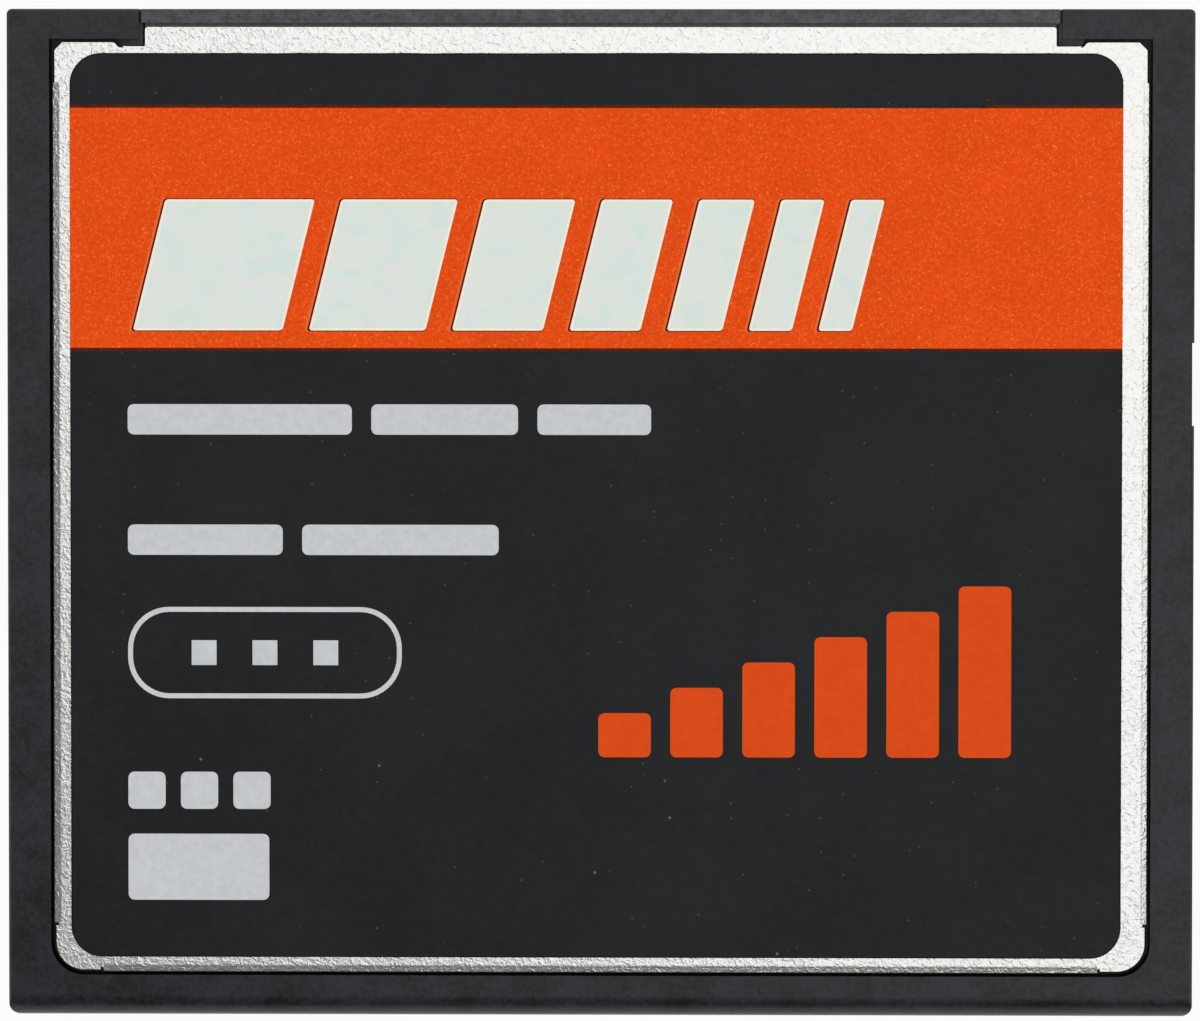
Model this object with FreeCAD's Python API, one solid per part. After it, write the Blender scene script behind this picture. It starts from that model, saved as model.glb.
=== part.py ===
"""Compact flash memory card, Type I, one rigid assembly of separate pieces.

X runs across the card, +Y points to the connector edge, +Z comes out of the label.
The origin is in the middle of the back face. All sizes are in millimetres.
"""
import FreeCAD, Part
import math
import os

from FreeCAD import Vector

# Whole card, by the published outline of this kind of card
CARD_WIDTH = 42.80
CARD_LENGTH = 36.40
CARD_THICKNESS = 3.30
FRONT_CORNER = 0.20
REAR_CORNER = 0.45
EDGE_CHAMFER = 0.10
REAR_ROUND = 0.75

# Frame moulding
RAIL_WALL = 1.53
REAR_WALL = 1.48
WEB_DEPTH = 0.47
TOP_POCKET_DEPTH = 1.10
BOTTOM_POCKET_DEPTH = 1.10
SHELF_DEPTH = 0.70
SHELF_THICKNESS = 0.55
HOOK_DEPTH = 1.08
HOOK_MOUTH = 33.24
FOOT_REACH = 0.14
FOOT_LENGTH = 0.84
FOOT_DEPTH = 0.24
FOOT_STEP = 0.15
FOOT_SLOPE = 0.12

# Guide slots and the shallow notch in the right side
SLOT_LENGTH = 25.78
SLOT_DEPTH = 1.01
WIDE_SLOT = 1.60
NARROW_SLOT = 0.99
SLOT_FLARE = 0.25
SLOT_FLARE_LENGTH = 0.60
NOTCH_START = 12.00
NOTCH_LENGTH = 3.00
NOTCH_DEPTH = 0.09

# Folded covers
SHEET = 0.15
TOP_RECESS = 0.16
BOTTOM_RECESS = 0.06
COVER_CLEARANCE = 0.09
BEND_RADIUS = 0.30
CORNER_SETBACK = 1.80
FLANGE_FRONT_SETBACK = 2.65
FLANGE_STEP = 0.10
COVER_CORNER = 1.00
COVER_FRONT_CHAMFER = 0.28
RELIEF_WIDTH = 0.10
RELIEF_DEPTH = 0.32
HOOK_CLEARANCE = 0.12
FOOT_CLEARANCE = 0.07

# Connector housing and its socket contacts
HOUSING_DEPTH = 6.00
HOUSING_CLEARANCE = 0.10
SHOULDER_CHAMFER = 0.30
LIP_DEPTH = 0.50
LIP_GAP = 0.15
LIP_RECESS = 0.10
LIP_CLEARANCE = 0.08
CONTACTS_PER_ROW = 25
CONTACT_PITCH = 1.27
ROW_SPACING = 1.27
PIN_BORE = 0.60
BORE_SIDES = 8
PIN_BORE_DEPTH = 1.20
LEAD_IN = 0.95
LEAD_IN_DEPTH = 0.30
CAVITY_WIDTH = 0.50
CAVITY_CLEARANCE = 0.02
CONTACT_WIDTH = 0.40
TINE_GAP = 0.43
FORK_LENGTH = 3.20
FORK_SETBACK = 0.10
FORK_BASE_SETBACK = 0.30
TAIL_LENGTH = 1.20
TAIL_THICKNESS = 0.15

# Circuit board
BOARD_THICKNESS = 0.60
BOARD_CLEARANCE = 0.10

# Chips
STANDOFF = 0.05
HEADROOM = 0.05
DRAFT = 0.06
LEAD_THICKNESS = 0.125
LEAD_FOOT = 0.50
CHIP_GAP = 2.60
CHIP_WIDTH_RATIO = 1.2
CONTROLLER_PITCH = 0.80
CONTROLLER_LEAD_WIDTH = 0.35
CONTROLLER_REACH = 1.00
CONTROLLER_MARGIN = 3.00
CONTROLLER_FRONT_MARGIN = 6.53
CONTROLLER_CORNERS = 1.65
FLASH_REACH = 0.80
FLASH_MARGIN = 9.00
FLASH_REAR_MARGIN = 2.60
FLASH_FRONT_MARGIN = 5.73
FLASH_PITCH = 0.50
FLASH_LEAD_WIDTH = 0.22
FLASH_CORNERS = 0.40
REGULATOR_LENGTH = 2.90
REGULATOR_WIDTH = 1.60
REGULATOR_PITCH = 0.95
REGULATOR_REACH = 0.60
REGULATOR_LEAD_WIDTH = 0.40
REGULATOR_LEADS = (3, 2)
REGULATOR_MARGIN = 3.20
REGULATOR_REAR_MARGIN = 6.00

# Chip capacitors and resistors
CAPACITOR_LENGTH = 1.60
CAPACITOR_WIDTH = 0.80
CAPACITOR_HEIGHT = 0.70
CAPACITOR_END = 0.32
CAPACITOR_PITCH = 2.60
CAPACITOR_COUNT = 5
CAPACITOR_FRONT_MARGIN = 2.90
SIDE_CAPACITOR_COUNT = 2
SIDE_CAPACITOR_PITCH = 2.20
SIDE_CAPACITOR_REAR_MARGIN = 11.00
RESISTOR_LENGTH = 1.00
RESISTOR_WIDTH = 0.50
RESISTOR_HEIGHT = 0.35
RESISTOR_END = 0.22
RESISTOR_PITCH = 1.27
RESISTOR_COUNT = 6
RESISTOR_FRONT_MARGIN = 2.40

# Label sheet, set in from the edges of the top cover
LABEL_LEFT_MARGIN = 0.645
LABEL_RIGHT_MARGIN = 0.965
LABEL_REAR_MARGIN = 0.57
LABEL_FRONT_MARGIN = 0.94
LABEL_CORNER = 1.12
LABEL_THICKNESS = 0.08
INK = 0.02

# The print is drawn on a sheet, from its left and front edges, and the sheet is fitted to the label
BAND_FRONT = 1.97
BAND_HEIGHT = 8.65
PRINT_LEFT = 2.075
PRINT_REAR_MARGIN = 2.07

# Raised slanted bars on the band
BAR_THICKNESS = 0.05
BAR_HEIGHT = 4.73
BAR_SLANT = 14.0
BAR_LEFT = 2.275
BAR_SET_IN = 3.29
BAR_FIRST_WIDTH = 5.40
BAR_SHRINK = 0.78
BAR_GAP = 0.95
BAR_COUNT = 7

# Flat grey and orange shapes behind the band, each row set off from the one in front of it
LINE_HEIGHT = 1.10
LINE_GAP = 0.70
FIRST_LINE_SPACE = 2.03
SECOND_LINE_SPACE = 3.25
FIRST_LINE_WORDS = (8.10, 5.30, 4.10)
SECOND_LINE_WORDS = (5.60, 7.10)
BADGE_LENGTH = 9.90
BADGE_HEIGHT = 3.31
BADGE_STROKE = 0.18
BADGE_SPACE = 1.88
BADGE_ROUNDING_RATIO = 0.45
BADGE_TILE = 0.90
BADGE_TILE_PITCH = 2.20
BADGE_TILE_COUNT = 3
PANEL_LENGTH = 5.10
PANEL_HEIGHT = 2.40
PANEL_SPACE = 0.90
TILE_SIZE = 1.35
TILE_GAP = 0.55
TILE_COUNT = 3
TILE_SPACE = 2.66
RISER_LEFT = 19.075
RISER_RIGHT_MARGIN = 3.975
RISER_DROP = 2.11
RISER_WIDTH = 1.90
RISER_GAP = 0.70
RISER_FIRST_HEIGHT = 1.60
RISER_GAIN = 0.92
RISER_COUNT = 6

# Places that follow from the sizes above
HALF_WIDTH = CARD_WIDTH / 2
FRONT = CARD_LENGTH / 2
REAR = -FRONT
MIDDLE = CARD_THICKNESS / 2
POCKET_X = HALF_WIDTH - RAIL_WALL
POCKET_REAR = REAR + REAR_WALL
POCKET_CORNER = COVER_CORNER + FLANGE_STEP + COVER_CLEARANCE
WEB_X = POCKET_X - WEB_DEPTH
WEB_REAR = POCKET_REAR + WEB_DEPTH
WEB_CORNER = POCKET_CORNER - WEB_DEPTH
WEB_TOP = CARD_THICKNESS - TOP_POCKET_DEPTH
WEB_BOTTOM = BOTTOM_POCKET_DEPTH
HOOK_REAR = FRONT - HOOK_DEPTH
MOUTH_X = HOOK_MOUTH / 2
FOOT_TIP = MOUTH_X - FOOT_REACH
FOOT_REAR = HOOK_REAR - FOOT_DEPTH
LIP_X = MOUTH_X - LIP_CLEARANCE
LIP_REAR = FRONT - LIP_DEPTH
COVER_X = POCKET_X - COVER_CLEARANCE
COVER_REAR = POCKET_REAR + COVER_CLEARANCE
COVER_FRONT = LIP_REAR - LIP_GAP
TOP_INNER = CARD_THICKNESS - TOP_RECESS - SHEET
BOTTOM_INNER = BOTTOM_RECESS + SHEET
TOP_OUTER = CARD_THICKNESS - TOP_RECESS
HOUSING_X = WEB_X - HOUSING_CLEARANCE
HOUSING_REAR = FRONT - HOUSING_DEPTH
SHOULDER_FRONT = FOOT_REAR - FOOT_CLEARANCE
NOSE_X = FOOT_TIP - FOOT_CLEARANCE
BOARD_X = WEB_X - BOARD_CLEARANCE
BOARD_REAR = WEB_REAR + BOARD_CLEARANCE
BOARD_FRONT = HOUSING_REAR - BOARD_CLEARANCE
BOARD_TOP = MIDDLE + BOARD_THICKNESS / 2
BOARD_BOTTOM = MIDDLE - BOARD_THICKNESS / 2
CONTACT_HALF_HEIGHT = ROW_SPACING / 2 - BOARD_THICKNESS / 2
PACKAGE_THICKNESS = TOP_INNER - BOARD_TOP - STANDOFF - HEADROOM
CHIP_ROOM = 2 * BOARD_X - CONTROLLER_MARGIN - 2 * CONTROLLER_REACH - CHIP_GAP - FLASH_MARGIN
CONTROLLER_SIZE = CHIP_ROOM / (1 + CHIP_WIDTH_RATIO)
CONTROLLER_LEADS_PER_SIDE = int((CONTROLLER_SIZE - CONTROLLER_CORNERS) / CONTROLLER_PITCH) + 1
FLASH_WIDTH = CHIP_ROOM - CONTROLLER_SIZE
FLASH_REAR = BOARD_REAR + FLASH_REAR_MARGIN + FLASH_REACH
FLASH_FRONT = BOARD_FRONT - FLASH_FRONT_MARGIN - FLASH_REACH
FLASH_LEADS_PER_END = int((FLASH_WIDTH - FLASH_CORNERS) / FLASH_PITCH) + 1
LABEL_LEFT = -COVER_X + LABEL_LEFT_MARGIN
LABEL_RIGHT = COVER_X - LABEL_RIGHT_MARGIN
LABEL_REAR = COVER_REAR + LABEL_REAR_MARGIN
LABEL_FRONT = COVER_FRONT - LABEL_FRONT_MARGIN
LABEL_TOP = TOP_OUTER + LABEL_THICKNESS
BAR_FRONT = BAND_FRONT + BAR_SET_IN
FIRST_LINE_FRONT = BAND_FRONT + BAND_HEIGHT + FIRST_LINE_SPACE
SECOND_LINE_FRONT = FIRST_LINE_FRONT + LINE_HEIGHT + SECOND_LINE_SPACE
BADGE_FRONT = SECOND_LINE_FRONT + LINE_HEIGHT + BADGE_SPACE
TILE_FRONT = BADGE_FRONT + BADGE_HEIGHT + TILE_SPACE
PANEL_FRONT = TILE_FRONT + TILE_SIZE + PANEL_SPACE
RISER_FOOT = BADGE_FRONT + BADGE_HEIGHT + RISER_DROP
RISERS_WIDTH = RISER_COUNT * RISER_WIDTH + (RISER_COUNT - 1) * RISER_GAP
DESIGN_WIDTH = RISER_LEFT + RISERS_WIDTH + RISER_RIGHT_MARGIN
DESIGN_LENGTH = PANEL_FRONT + PANEL_HEIGHT + PRINT_REAR_MARGIN
OVERCUT = 1.0
SAME_POINT = 1e-6


def on_plan(z):
    """Gives the map from plan (x, y) to a point at height z."""
    return lambda u, v: Vector(u, v, z)


def on_side(x):
    """Gives the map from side view (y, z) to a point at the given x."""
    return lambda u, v: Vector(x, u, v)


def on_front(y):
    """Gives the map from front view (x, z) to a point at the given y."""
    return lambda u, v: Vector(u, y, v)


def outline_face(corners, place):
    """Makes a face from corners (u, v, radius), rounding each corner by its radius."""
    edges = []
    first = last = None
    count = len(corners)
    for index, (u, v, radius) in enumerate(corners):
        corner = place(u, v)
        before = place(*corners[index - 1][:2])
        after = place(*corners[(index + 1) % count][:2])
        to_before = (before - corner).normalize()
        to_after = (after - corner).normalize()
        if radius > 0:
            half_angle = to_before.getAngle(to_after) / 2
            run = radius / math.tan(half_angle)
            bisector = (to_before + to_after).normalize()
            start = corner + to_before * run
            end = corner + to_after * run
            centre = corner + bisector * (radius / math.sin(half_angle))
            arc = Part.Arc(start, centre - bisector * radius, end).toShape()
        else:
            start = end = corner
            arc = None
        if last is None:
            first = start
        elif last.distanceToPoint(start) > SAME_POINT:
            edges.append(Part.LineSegment(last, start).toShape())
        if arc is not None:
            edges.append(arc)
        last = end
    if last.distanceToPoint(first) > SAME_POINT:
        edges.append(Part.LineSegment(last, first).toShape())
    return Part.Face(Part.Wire(Part.__sortEdges__(edges)))


def slab(corners, low, high):
    """Extrudes a plan outline from height low to height high."""
    return outline_face(corners, on_plan(low)).extrude(Vector(0, 0, high - low))


def block(x0, x1, y0, y1, z0, z1):
    """Makes a square-cornered block between two opposite corners."""
    return Part.makeBox(x1 - x0, y1 - y0, z1 - z0, Vector(x0, y0, z0))


def rectangle(x0, x1, y0, y1, radius=0.0):
    """Gives the corners of a rectangle with equal corner rounding."""
    return [(x0, y0, radius), (x1, y0, radius), (x1, y1, radius), (x0, y1, radius)]


def cut_rectangle(u0, u1, v0, v1, cut):
    """Gives the corners of a rectangle whose corners are cut off at 45 degrees."""
    return [
        (u0 + cut, v0, 0), (u1 - cut, v0, 0), (u1, v0 + cut, 0), (u1, v1 - cut, 0),
        (u1 - cut, v1, 0), (u0 + cut, v1, 0), (u0, v1 - cut, 0), (u0, v0 + cut, 0),
    ]


def mirrored_x(shape):
    """Mirrors a shape across the card's centre line."""
    return shape.mirror(Vector(0, 0, 0), Vector(1, 0, 0))


def mirrored_z(shape):
    """Mirrors a shape across the card's mid-thickness."""
    return shape.mirror(Vector(0, 0, MIDDLE), Vector(0, 0, 1))


def well_outline(half_width, rear, corner, front):
    """Plan of a space in the frame that ends at the given y behind the hooks and runs out between them."""
    return [
        (-half_width, rear, corner),
        (half_width, rear, corner),
        (half_width, front, 0),
        (MOUTH_X, front, 0),
        (MOUTH_X, FRONT + OVERCUT, 0),
        (-MOUTH_X, FRONT + OVERCUT, 0),
        (-MOUTH_X, front, 0),
        (-half_width, front, 0),
    ]


def frame_blank():
    """The card's outer form: rounded corners in plan, rounded rear edges, softened long edges."""
    plan = slab([
        (-HALF_WIDTH, REAR, REAR_CORNER),
        (HALF_WIDTH, REAR, REAR_CORNER),
        (HALF_WIDTH, FRONT, FRONT_CORNER),
        (-HALF_WIDTH, FRONT, FRONT_CORNER),
    ], 0, CARD_THICKNESS)
    side = [
        (REAR, 0, REAR_ROUND),
        (FRONT - EDGE_CHAMFER, 0, 0),
        (FRONT, EDGE_CHAMFER, 0),
        (FRONT, CARD_THICKNESS - EDGE_CHAMFER, 0),
        (FRONT - EDGE_CHAMFER, CARD_THICKNESS, 0),
        (REAR, CARD_THICKNESS, REAR_ROUND),
    ]
    side_form = outline_face(side, on_side(-HALF_WIDTH)).extrude(Vector(CARD_WIDTH, 0, 0))
    front = cut_rectangle(-HALF_WIDTH, HALF_WIDTH, 0, CARD_THICKNESS, EDGE_CHAMFER)
    front_form = outline_face(front, on_front(REAR)).extrude(Vector(0, CARD_LENGTH, 0))
    return plan.common(side_form).common(front_form)


def guide_slot(width):
    """Cutter for a guide slot in the right side, flared at its mouth."""
    mouth_start = FRONT - SLOT_FLARE_LENGTH
    half = width / 2
    flared = half + SLOT_FLARE
    profile = [
        (FRONT - SLOT_LENGTH, MIDDLE - half, 0),
        (mouth_start, MIDDLE - half, 0),
        (FRONT, MIDDLE - flared, 0),
        (FRONT + OVERCUT, MIDDLE - flared, 0),
        (FRONT + OVERCUT, MIDDLE + flared, 0),
        (FRONT, MIDDLE + flared, 0),
        (mouth_start, MIDDLE + half, 0),
        (FRONT - SLOT_LENGTH, MIDDLE + half, 0),
    ]
    face = outline_face(profile, on_side(HALF_WIDTH - SLOT_DEPTH))
    return face.extrude(Vector(SLOT_DEPTH + OVERCUT, 0, 0))


def hook_foot():
    """The lower step round the tip of the right hook; the housing's lip stops against its front."""
    outer = FOOT_TIP + FOOT_LENGTH
    corners = [
        (FOOT_TIP, FOOT_REAR, 0),
        (outer, FOOT_REAR, 0),
        (outer + FOOT_SLOPE, HOOK_REAR, 0),
        (outer + FOOT_SLOPE, LIP_REAR, 0),
        (FOOT_TIP, LIP_REAR, 0),
    ]
    return slab(corners, FOOT_STEP, CARD_THICKNESS - FOOT_STEP)


def frame():
    """The moulding: rails, rear bar, hooks, inner web and the shelf that carries the board."""
    body = frame_blank()
    well = well_outline(WEB_X, WEB_REAR, WEB_CORNER, FOOT_REAR)
    board_well = slab(well, -OVERCUT, CARD_THICKNESS + OVERCUT)
    pocket = well_outline(POCKET_X, POCKET_REAR, POCKET_CORNER, HOOK_REAR)
    top_pocket = slab(pocket, WEB_TOP, CARD_THICKNESS + OVERCUT)
    bottom_pocket = slab(pocket, -OVERCUT, WEB_BOTTOM)
    notch = block(
        HALF_WIDTH - NOTCH_DEPTH, HALF_WIDTH + OVERCUT,
        FRONT - NOTCH_START - NOTCH_LENGTH, FRONT - NOTCH_START,
        -OVERCUT, CARD_THICKNESS + OVERCUT,
    )
    body = body.cut([board_well, top_pocket, bottom_pocket, notch])
    body = body.cut([guide_slot(WIDE_SLOT), mirrored_x(guide_slot(NARROW_SLOT))])
    shelf_low = BOARD_BOTTOM - SHELF_THICKNESS
    shelf = slab([
        (-WEB_X, WEB_REAR, WEB_CORNER),
        (WEB_X, WEB_REAR, WEB_CORNER),
        (WEB_X, BOARD_FRONT, 0),
        (-WEB_X, BOARD_FRONT, 0),
    ], shelf_low, BOARD_BOTTOM)
    shelf_inner = WEB_X - SHELF_DEPTH
    shelf_space = rectangle(-shelf_inner, shelf_inner, WEB_REAR + SHELF_DEPTH, BOARD_FRONT + OVERCUT)
    shelf = shelf.cut(slab(shelf_space, shelf_low - OVERCUT, BOARD_BOTTOM + OVERCUT))
    foot = hook_foot()
    return body.fuse([shelf, foot, mirrored_x(foot)]).removeSplitter()


def folded_edge(length, flange_low):
    """A straight flange whose bend starts at x = 0; it points to +X and down and runs along Y."""
    inner_radius = BEND_RADIUS - SHEET
    profile = [
        (0, TOP_OUTER, 0),
        (BEND_RADIUS, TOP_OUTER, BEND_RADIUS),
        (BEND_RADIUS, flange_low, 0),
        (inner_radius, flange_low, 0),
        (inner_radius, TOP_INNER, inner_radius),
        (0, TOP_INNER, 0),
    ]
    return outline_face(profile, on_front(-length / 2)).extrude(Vector(0, length, 0))


def hook_cut():
    """Cutter that clears the right front corner of a cover from the hook and its foot."""
    tip = FOOT_TIP - FOOT_CLEARANCE
    foot_outer = FOOT_TIP + FOOT_LENGTH + FOOT_CLEARANCE
    foot_edge = FOOT_REAR - FOOT_CLEARANCE
    hook_edge = HOOK_REAR - HOOK_CLEARANCE
    side = COVER_X - FLANGE_STEP
    corners = [
        (tip, FRONT, 0),
        (tip, foot_edge, 0),
        (foot_outer, foot_edge, 0),
        (foot_outer + FOOT_SLOPE, hook_edge, 0),
        (side - COVER_FRONT_CHAMFER, hook_edge, 0),
        (side + OVERCUT, hook_edge - COVER_FRONT_CHAMFER - OVERCUT, 0),
        (side + OVERCUT, FRONT, 0),
    ]
    return slab(corners, TOP_INNER - OVERCUT, TOP_OUTER + OVERCUT)


def cover(flange_low):
    """A folded sheet in the place of the top cover, with side and rear flanges down to flange_low."""
    side = COVER_X - FLANGE_STEP
    rear = COVER_REAR + FLANGE_STEP
    sheet = slab([
        (-side, rear, COVER_CORNER),
        (side, rear, COVER_CORNER),
        (side, COVER_FRONT, 0),
        (-side, COVER_FRONT, 0),
    ], TOP_INNER, TOP_OUTER)
    bend_x = COVER_X - BEND_RADIUS
    bend_rear = COVER_REAR + BEND_RADIUS
    side_start = COVER_REAR + CORNER_SETBACK
    side_end = FRONT - FLANGE_FRONT_SETBACK
    rear_end = COVER_X - CORNER_SETBACK
    low, high = TOP_INNER - OVERCUT, TOP_OUTER + OVERCUT
    side_strip = block(bend_x, side + OVERCUT, side_start, side_end, low, high)
    rear_strip = block(-rear_end, rear_end, rear - OVERCUT, bend_rear, low, high)
    side_relief = block(
        COVER_X - RELIEF_DEPTH, side + OVERCUT, side_start - RELIEF_WIDTH, side_start, low, high
    )
    rear_relief = block(
        rear_end, rear_end + RELIEF_WIDTH, rear - OVERCUT, COVER_REAR + RELIEF_DEPTH, low, high
    )
    right_cuts = [side_strip, side_relief, rear_relief, hook_cut()]
    sheet = sheet.cut(right_cuts + [mirrored_x(cutter) for cutter in right_cuts] + [rear_strip])
    side_flange = folded_edge(side_end - side_start, flange_low)
    side_flange.translate(Vector(bend_x, (side_start + side_end) / 2, 0))
    rear_flange = folded_edge(2 * rear_end, flange_low)
    rear_flange.rotate(Vector(0, 0, 0), Vector(0, 0, 1), -90)
    rear_flange.translate(Vector(0, bend_rear, 0))
    return sheet.fuse([side_flange, mirrored_x(side_flange), rear_flange]).removeSplitter()


def top_cover():
    """The cover under the label; its flanges stand on the web of the frame."""
    return cover(WEB_TOP)


def bottom_cover():
    """The bare cover on the back, set nearer to the surface than the top one."""
    shape = mirrored_z(cover(CARD_THICKNESS - WEB_BOTTOM + BOTTOM_RECESS - TOP_RECESS))
    shape.translate(Vector(0, 0, BOTTOM_RECESS - TOP_RECESS))
    return shape


def contact_places():
    """The x of every contact in a row."""
    first = -(CONTACTS_PER_ROW - 1) * CONTACT_PITCH / 2
    return [first + index * CONTACT_PITCH for index in range(CONTACTS_PER_ROW)]


def bore_outline(x, y, z, width):
    """Corners of an eight-sided outline around a pin's axis, as wide across its flats as the bore."""
    corner = width / 2 / math.cos(math.pi / BORE_SIDES)
    points = []
    for index in range(BORE_SIDES):
        angle = (index + 0.5) * 2 * math.pi / BORE_SIDES
        points.append(Vector(x + corner * math.cos(angle), y, z + corner * math.sin(angle)))
    return points


def flat_face(points):
    """Makes a flat face from its corner points."""
    return Part.Face(Part.makePolygon(points + points[:1]))


def frustum(large, small):
    """Joins two like outlines with flat sides and closes both ends."""
    count = len(large)
    faces = [flat_face(large), flat_face(small)]
    for index in range(count):
        after = (index + 1) % count
        faces.append(flat_face([large[index], large[after], small[after], small[index]]))
    return Part.Solid(Part.Shell(faces))


def contact_channel(x, z):
    """Cutter for one socket: flared bore at the front, square cavity behind it."""
    mouth = bore_outline(x, FRONT, z, LEAD_IN)
    throat = bore_outline(x, FRONT - LEAD_IN_DEPTH, z, PIN_BORE)
    flare = frustum(mouth, throat)
    bore = flat_face(throat).extrude(Vector(0, LEAD_IN_DEPTH - PIN_BORE_DEPTH, 0))
    half_width = CAVITY_WIDTH / 2
    half_height = CONTACT_HALF_HEIGHT + CAVITY_CLEARANCE
    cavity = block(
        x - half_width, x + half_width,
        HOUSING_REAR - OVERCUT, FRONT - PIN_BORE_DEPTH,
        z - half_height, z + half_height,
    )
    return [flare, bore, cavity]


def connector_housing():
    """The socket block: shoulders behind the hooks, a nose between them and 50 flared bores."""
    plan = [
        (-HOUSING_X, HOUSING_REAR, 0),
        (HOUSING_X, HOUSING_REAR, 0),
        (HOUSING_X, SHOULDER_FRONT - SHOULDER_CHAMFER, 0),
        (HOUSING_X - SHOULDER_CHAMFER, SHOULDER_FRONT, 0),
        (NOSE_X, SHOULDER_FRONT, 0),
        (NOSE_X, FRONT, 0),
        (-NOSE_X, FRONT, 0),
        (-NOSE_X, SHOULDER_FRONT, 0),
        (-HOUSING_X + SHOULDER_CHAMFER, SHOULDER_FRONT, 0),
        (-HOUSING_X, SHOULDER_FRONT - SHOULDER_CHAMFER, 0),
    ]
    body = slab(plan, BOTTOM_INNER, TOP_INNER)
    lip_profile = [
        (LIP_REAR, LIP_RECESS, 0),
        (FRONT - EDGE_CHAMFER, LIP_RECESS, 0),
        (FRONT, LIP_RECESS + EDGE_CHAMFER, 0),
        (FRONT, CARD_THICKNESS - LIP_RECESS - EDGE_CHAMFER, 0),
        (FRONT - EDGE_CHAMFER, CARD_THICKNESS - LIP_RECESS, 0),
        (LIP_REAR, CARD_THICKNESS - LIP_RECESS, 0),
    ]
    lip = outline_face(lip_profile, on_side(-LIP_X)).extrude(Vector(2 * LIP_X, 0, 0))
    body = body.fuse(lip).removeSplitter()
    cutters = []
    for x in contact_places():
        for z in (MIDDLE - ROW_SPACING / 2, MIDDLE + ROW_SPACING / 2):
            cutters.extend(contact_channel(x, z))
    return body.cut(cutters)


def upper_contact(x):
    """A stamped fork in the upper row whose tail lies on the top of the board."""
    axis = MIDDLE + ROW_SPACING / 2
    front = FRONT - PIN_BORE_DEPTH - FORK_SETBACK
    slot_end = front - FORK_LENGTH
    base = HOUSING_REAR + FORK_BASE_SETBACK
    tail = BOARD_FRONT - TAIL_LENGTH
    low, high = axis - CONTACT_HALF_HEIGHT, axis + CONTACT_HALF_HEIGHT
    half_gap = TINE_GAP / 2
    profile = [
        (front, high, 0),
        (base, high, 0),
        (base, low + TAIL_THICKNESS, 0),
        (tail, low + TAIL_THICKNESS, 0),
        (tail, low, 0),
        (front, low, 0),
        (front, axis - half_gap, 0),
        (slot_end, axis, 0),
        (front, axis + half_gap, 0),
    ]
    left = x - CONTACT_WIDTH / 2
    return outline_face(profile, on_side(left)).extrude(Vector(CONTACT_WIDTH, 0, 0))


def upper_contacts():
    """The 25 contacts of the upper row."""
    return Part.makeCompound([upper_contact(x) for x in contact_places()])


def lower_contacts():
    """The 25 contacts of the lower row, whose tails lie under the board."""
    return Part.makeCompound([mirrored_z(upper_contact(x)) for x in contact_places()])


def circuit_board():
    """The board on the frame's shelf, with its front edge between the rows of contact tails."""
    corner = WEB_CORNER - BOARD_CLEARANCE
    plan = [
        (-BOARD_X, BOARD_REAR, corner),
        (BOARD_X, BOARD_REAR, corner),
        (BOARD_X, BOARD_FRONT, 0),
        (-BOARD_X, BOARD_FRONT, 0),
    ]
    return slab(plan, BOARD_BOTTOM, BOARD_TOP)


def package_section(half, place_map):
    """Section of a moulded chip body: it narrows above and below the band where the leads leave."""
    low = BOARD_TOP + STANDOFF
    high = low + PACKAGE_THICKNESS
    band_low = (low + high - LEAD_THICKNESS) / 2
    band_high = band_low + LEAD_THICKNESS
    profile = [
        (-half + DRAFT, low, 0),
        (half - DRAFT, low, 0),
        (half, band_low, 0),
        (half, band_high, 0),
        (half - DRAFT, high, 0),
        (-half + DRAFT, high, 0),
        (-half, band_high, 0),
        (-half, band_low, 0),
    ]
    return outline_face(profile, place_map)


def package_body(x, y, width, length):
    """A moulded chip body on the top of the board, centred at (x, y)."""
    across = package_section(width / 2, on_front(-length / 2)).extrude(Vector(0, length, 0))
    along = package_section(length / 2, on_side(-width / 2)).extrude(Vector(width, 0, 0))
    body = across.common(along)
    body.translate(Vector(x, y, 0))
    return body


def gull_lead(reach, width):
    """One bent lead that leaves a chip body at x = 0, goes out to +X and stands on the board."""
    exit_low = BOARD_TOP + STANDOFF + (PACKAGE_THICKNESS - LEAD_THICKNESS) / 2
    foot_start = reach - LEAD_FOOT
    profile = [
        (0, exit_low, 0),
        (foot_start, BOARD_TOP, 0),
        (reach, BOARD_TOP, 0),
        (reach, BOARD_TOP + LEAD_THICKNESS, 0),
        (foot_start + LEAD_THICKNESS, BOARD_TOP + LEAD_THICKNESS, 0),
        (0, exit_low + LEAD_THICKNESS, 0),
    ]
    return outline_face(profile, on_front(-width / 2)).extrude(Vector(0, width, 0))


def lead_row(half_body, count, pitch, reach, width, angle):
    """A row of leads on the side of a chip body that faces the given angle, about the chip's centre."""
    row = []
    for index in range(count):
        lead = gull_lead(reach, width)
        lead.translate(Vector(half_body, (index - (count - 1) / 2) * pitch, 0))
        lead.rotate(Vector(0, 0, 0), Vector(0, 0, 1), angle)
        row.append(lead)
    return row


def controller_centre():
    """Plan place of the controller, from the left and front edges of the board."""
    half_span = CONTROLLER_SIZE / 2 + CONTROLLER_REACH
    return -BOARD_X + CONTROLLER_MARGIN + half_span, BOARD_FRONT - CONTROLLER_FRONT_MARGIN - half_span


def controller_package():
    """The square moulded body of the memory controller."""
    x, y = controller_centre()
    return package_body(x, y, CONTROLLER_SIZE, CONTROLLER_SIZE)


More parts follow.
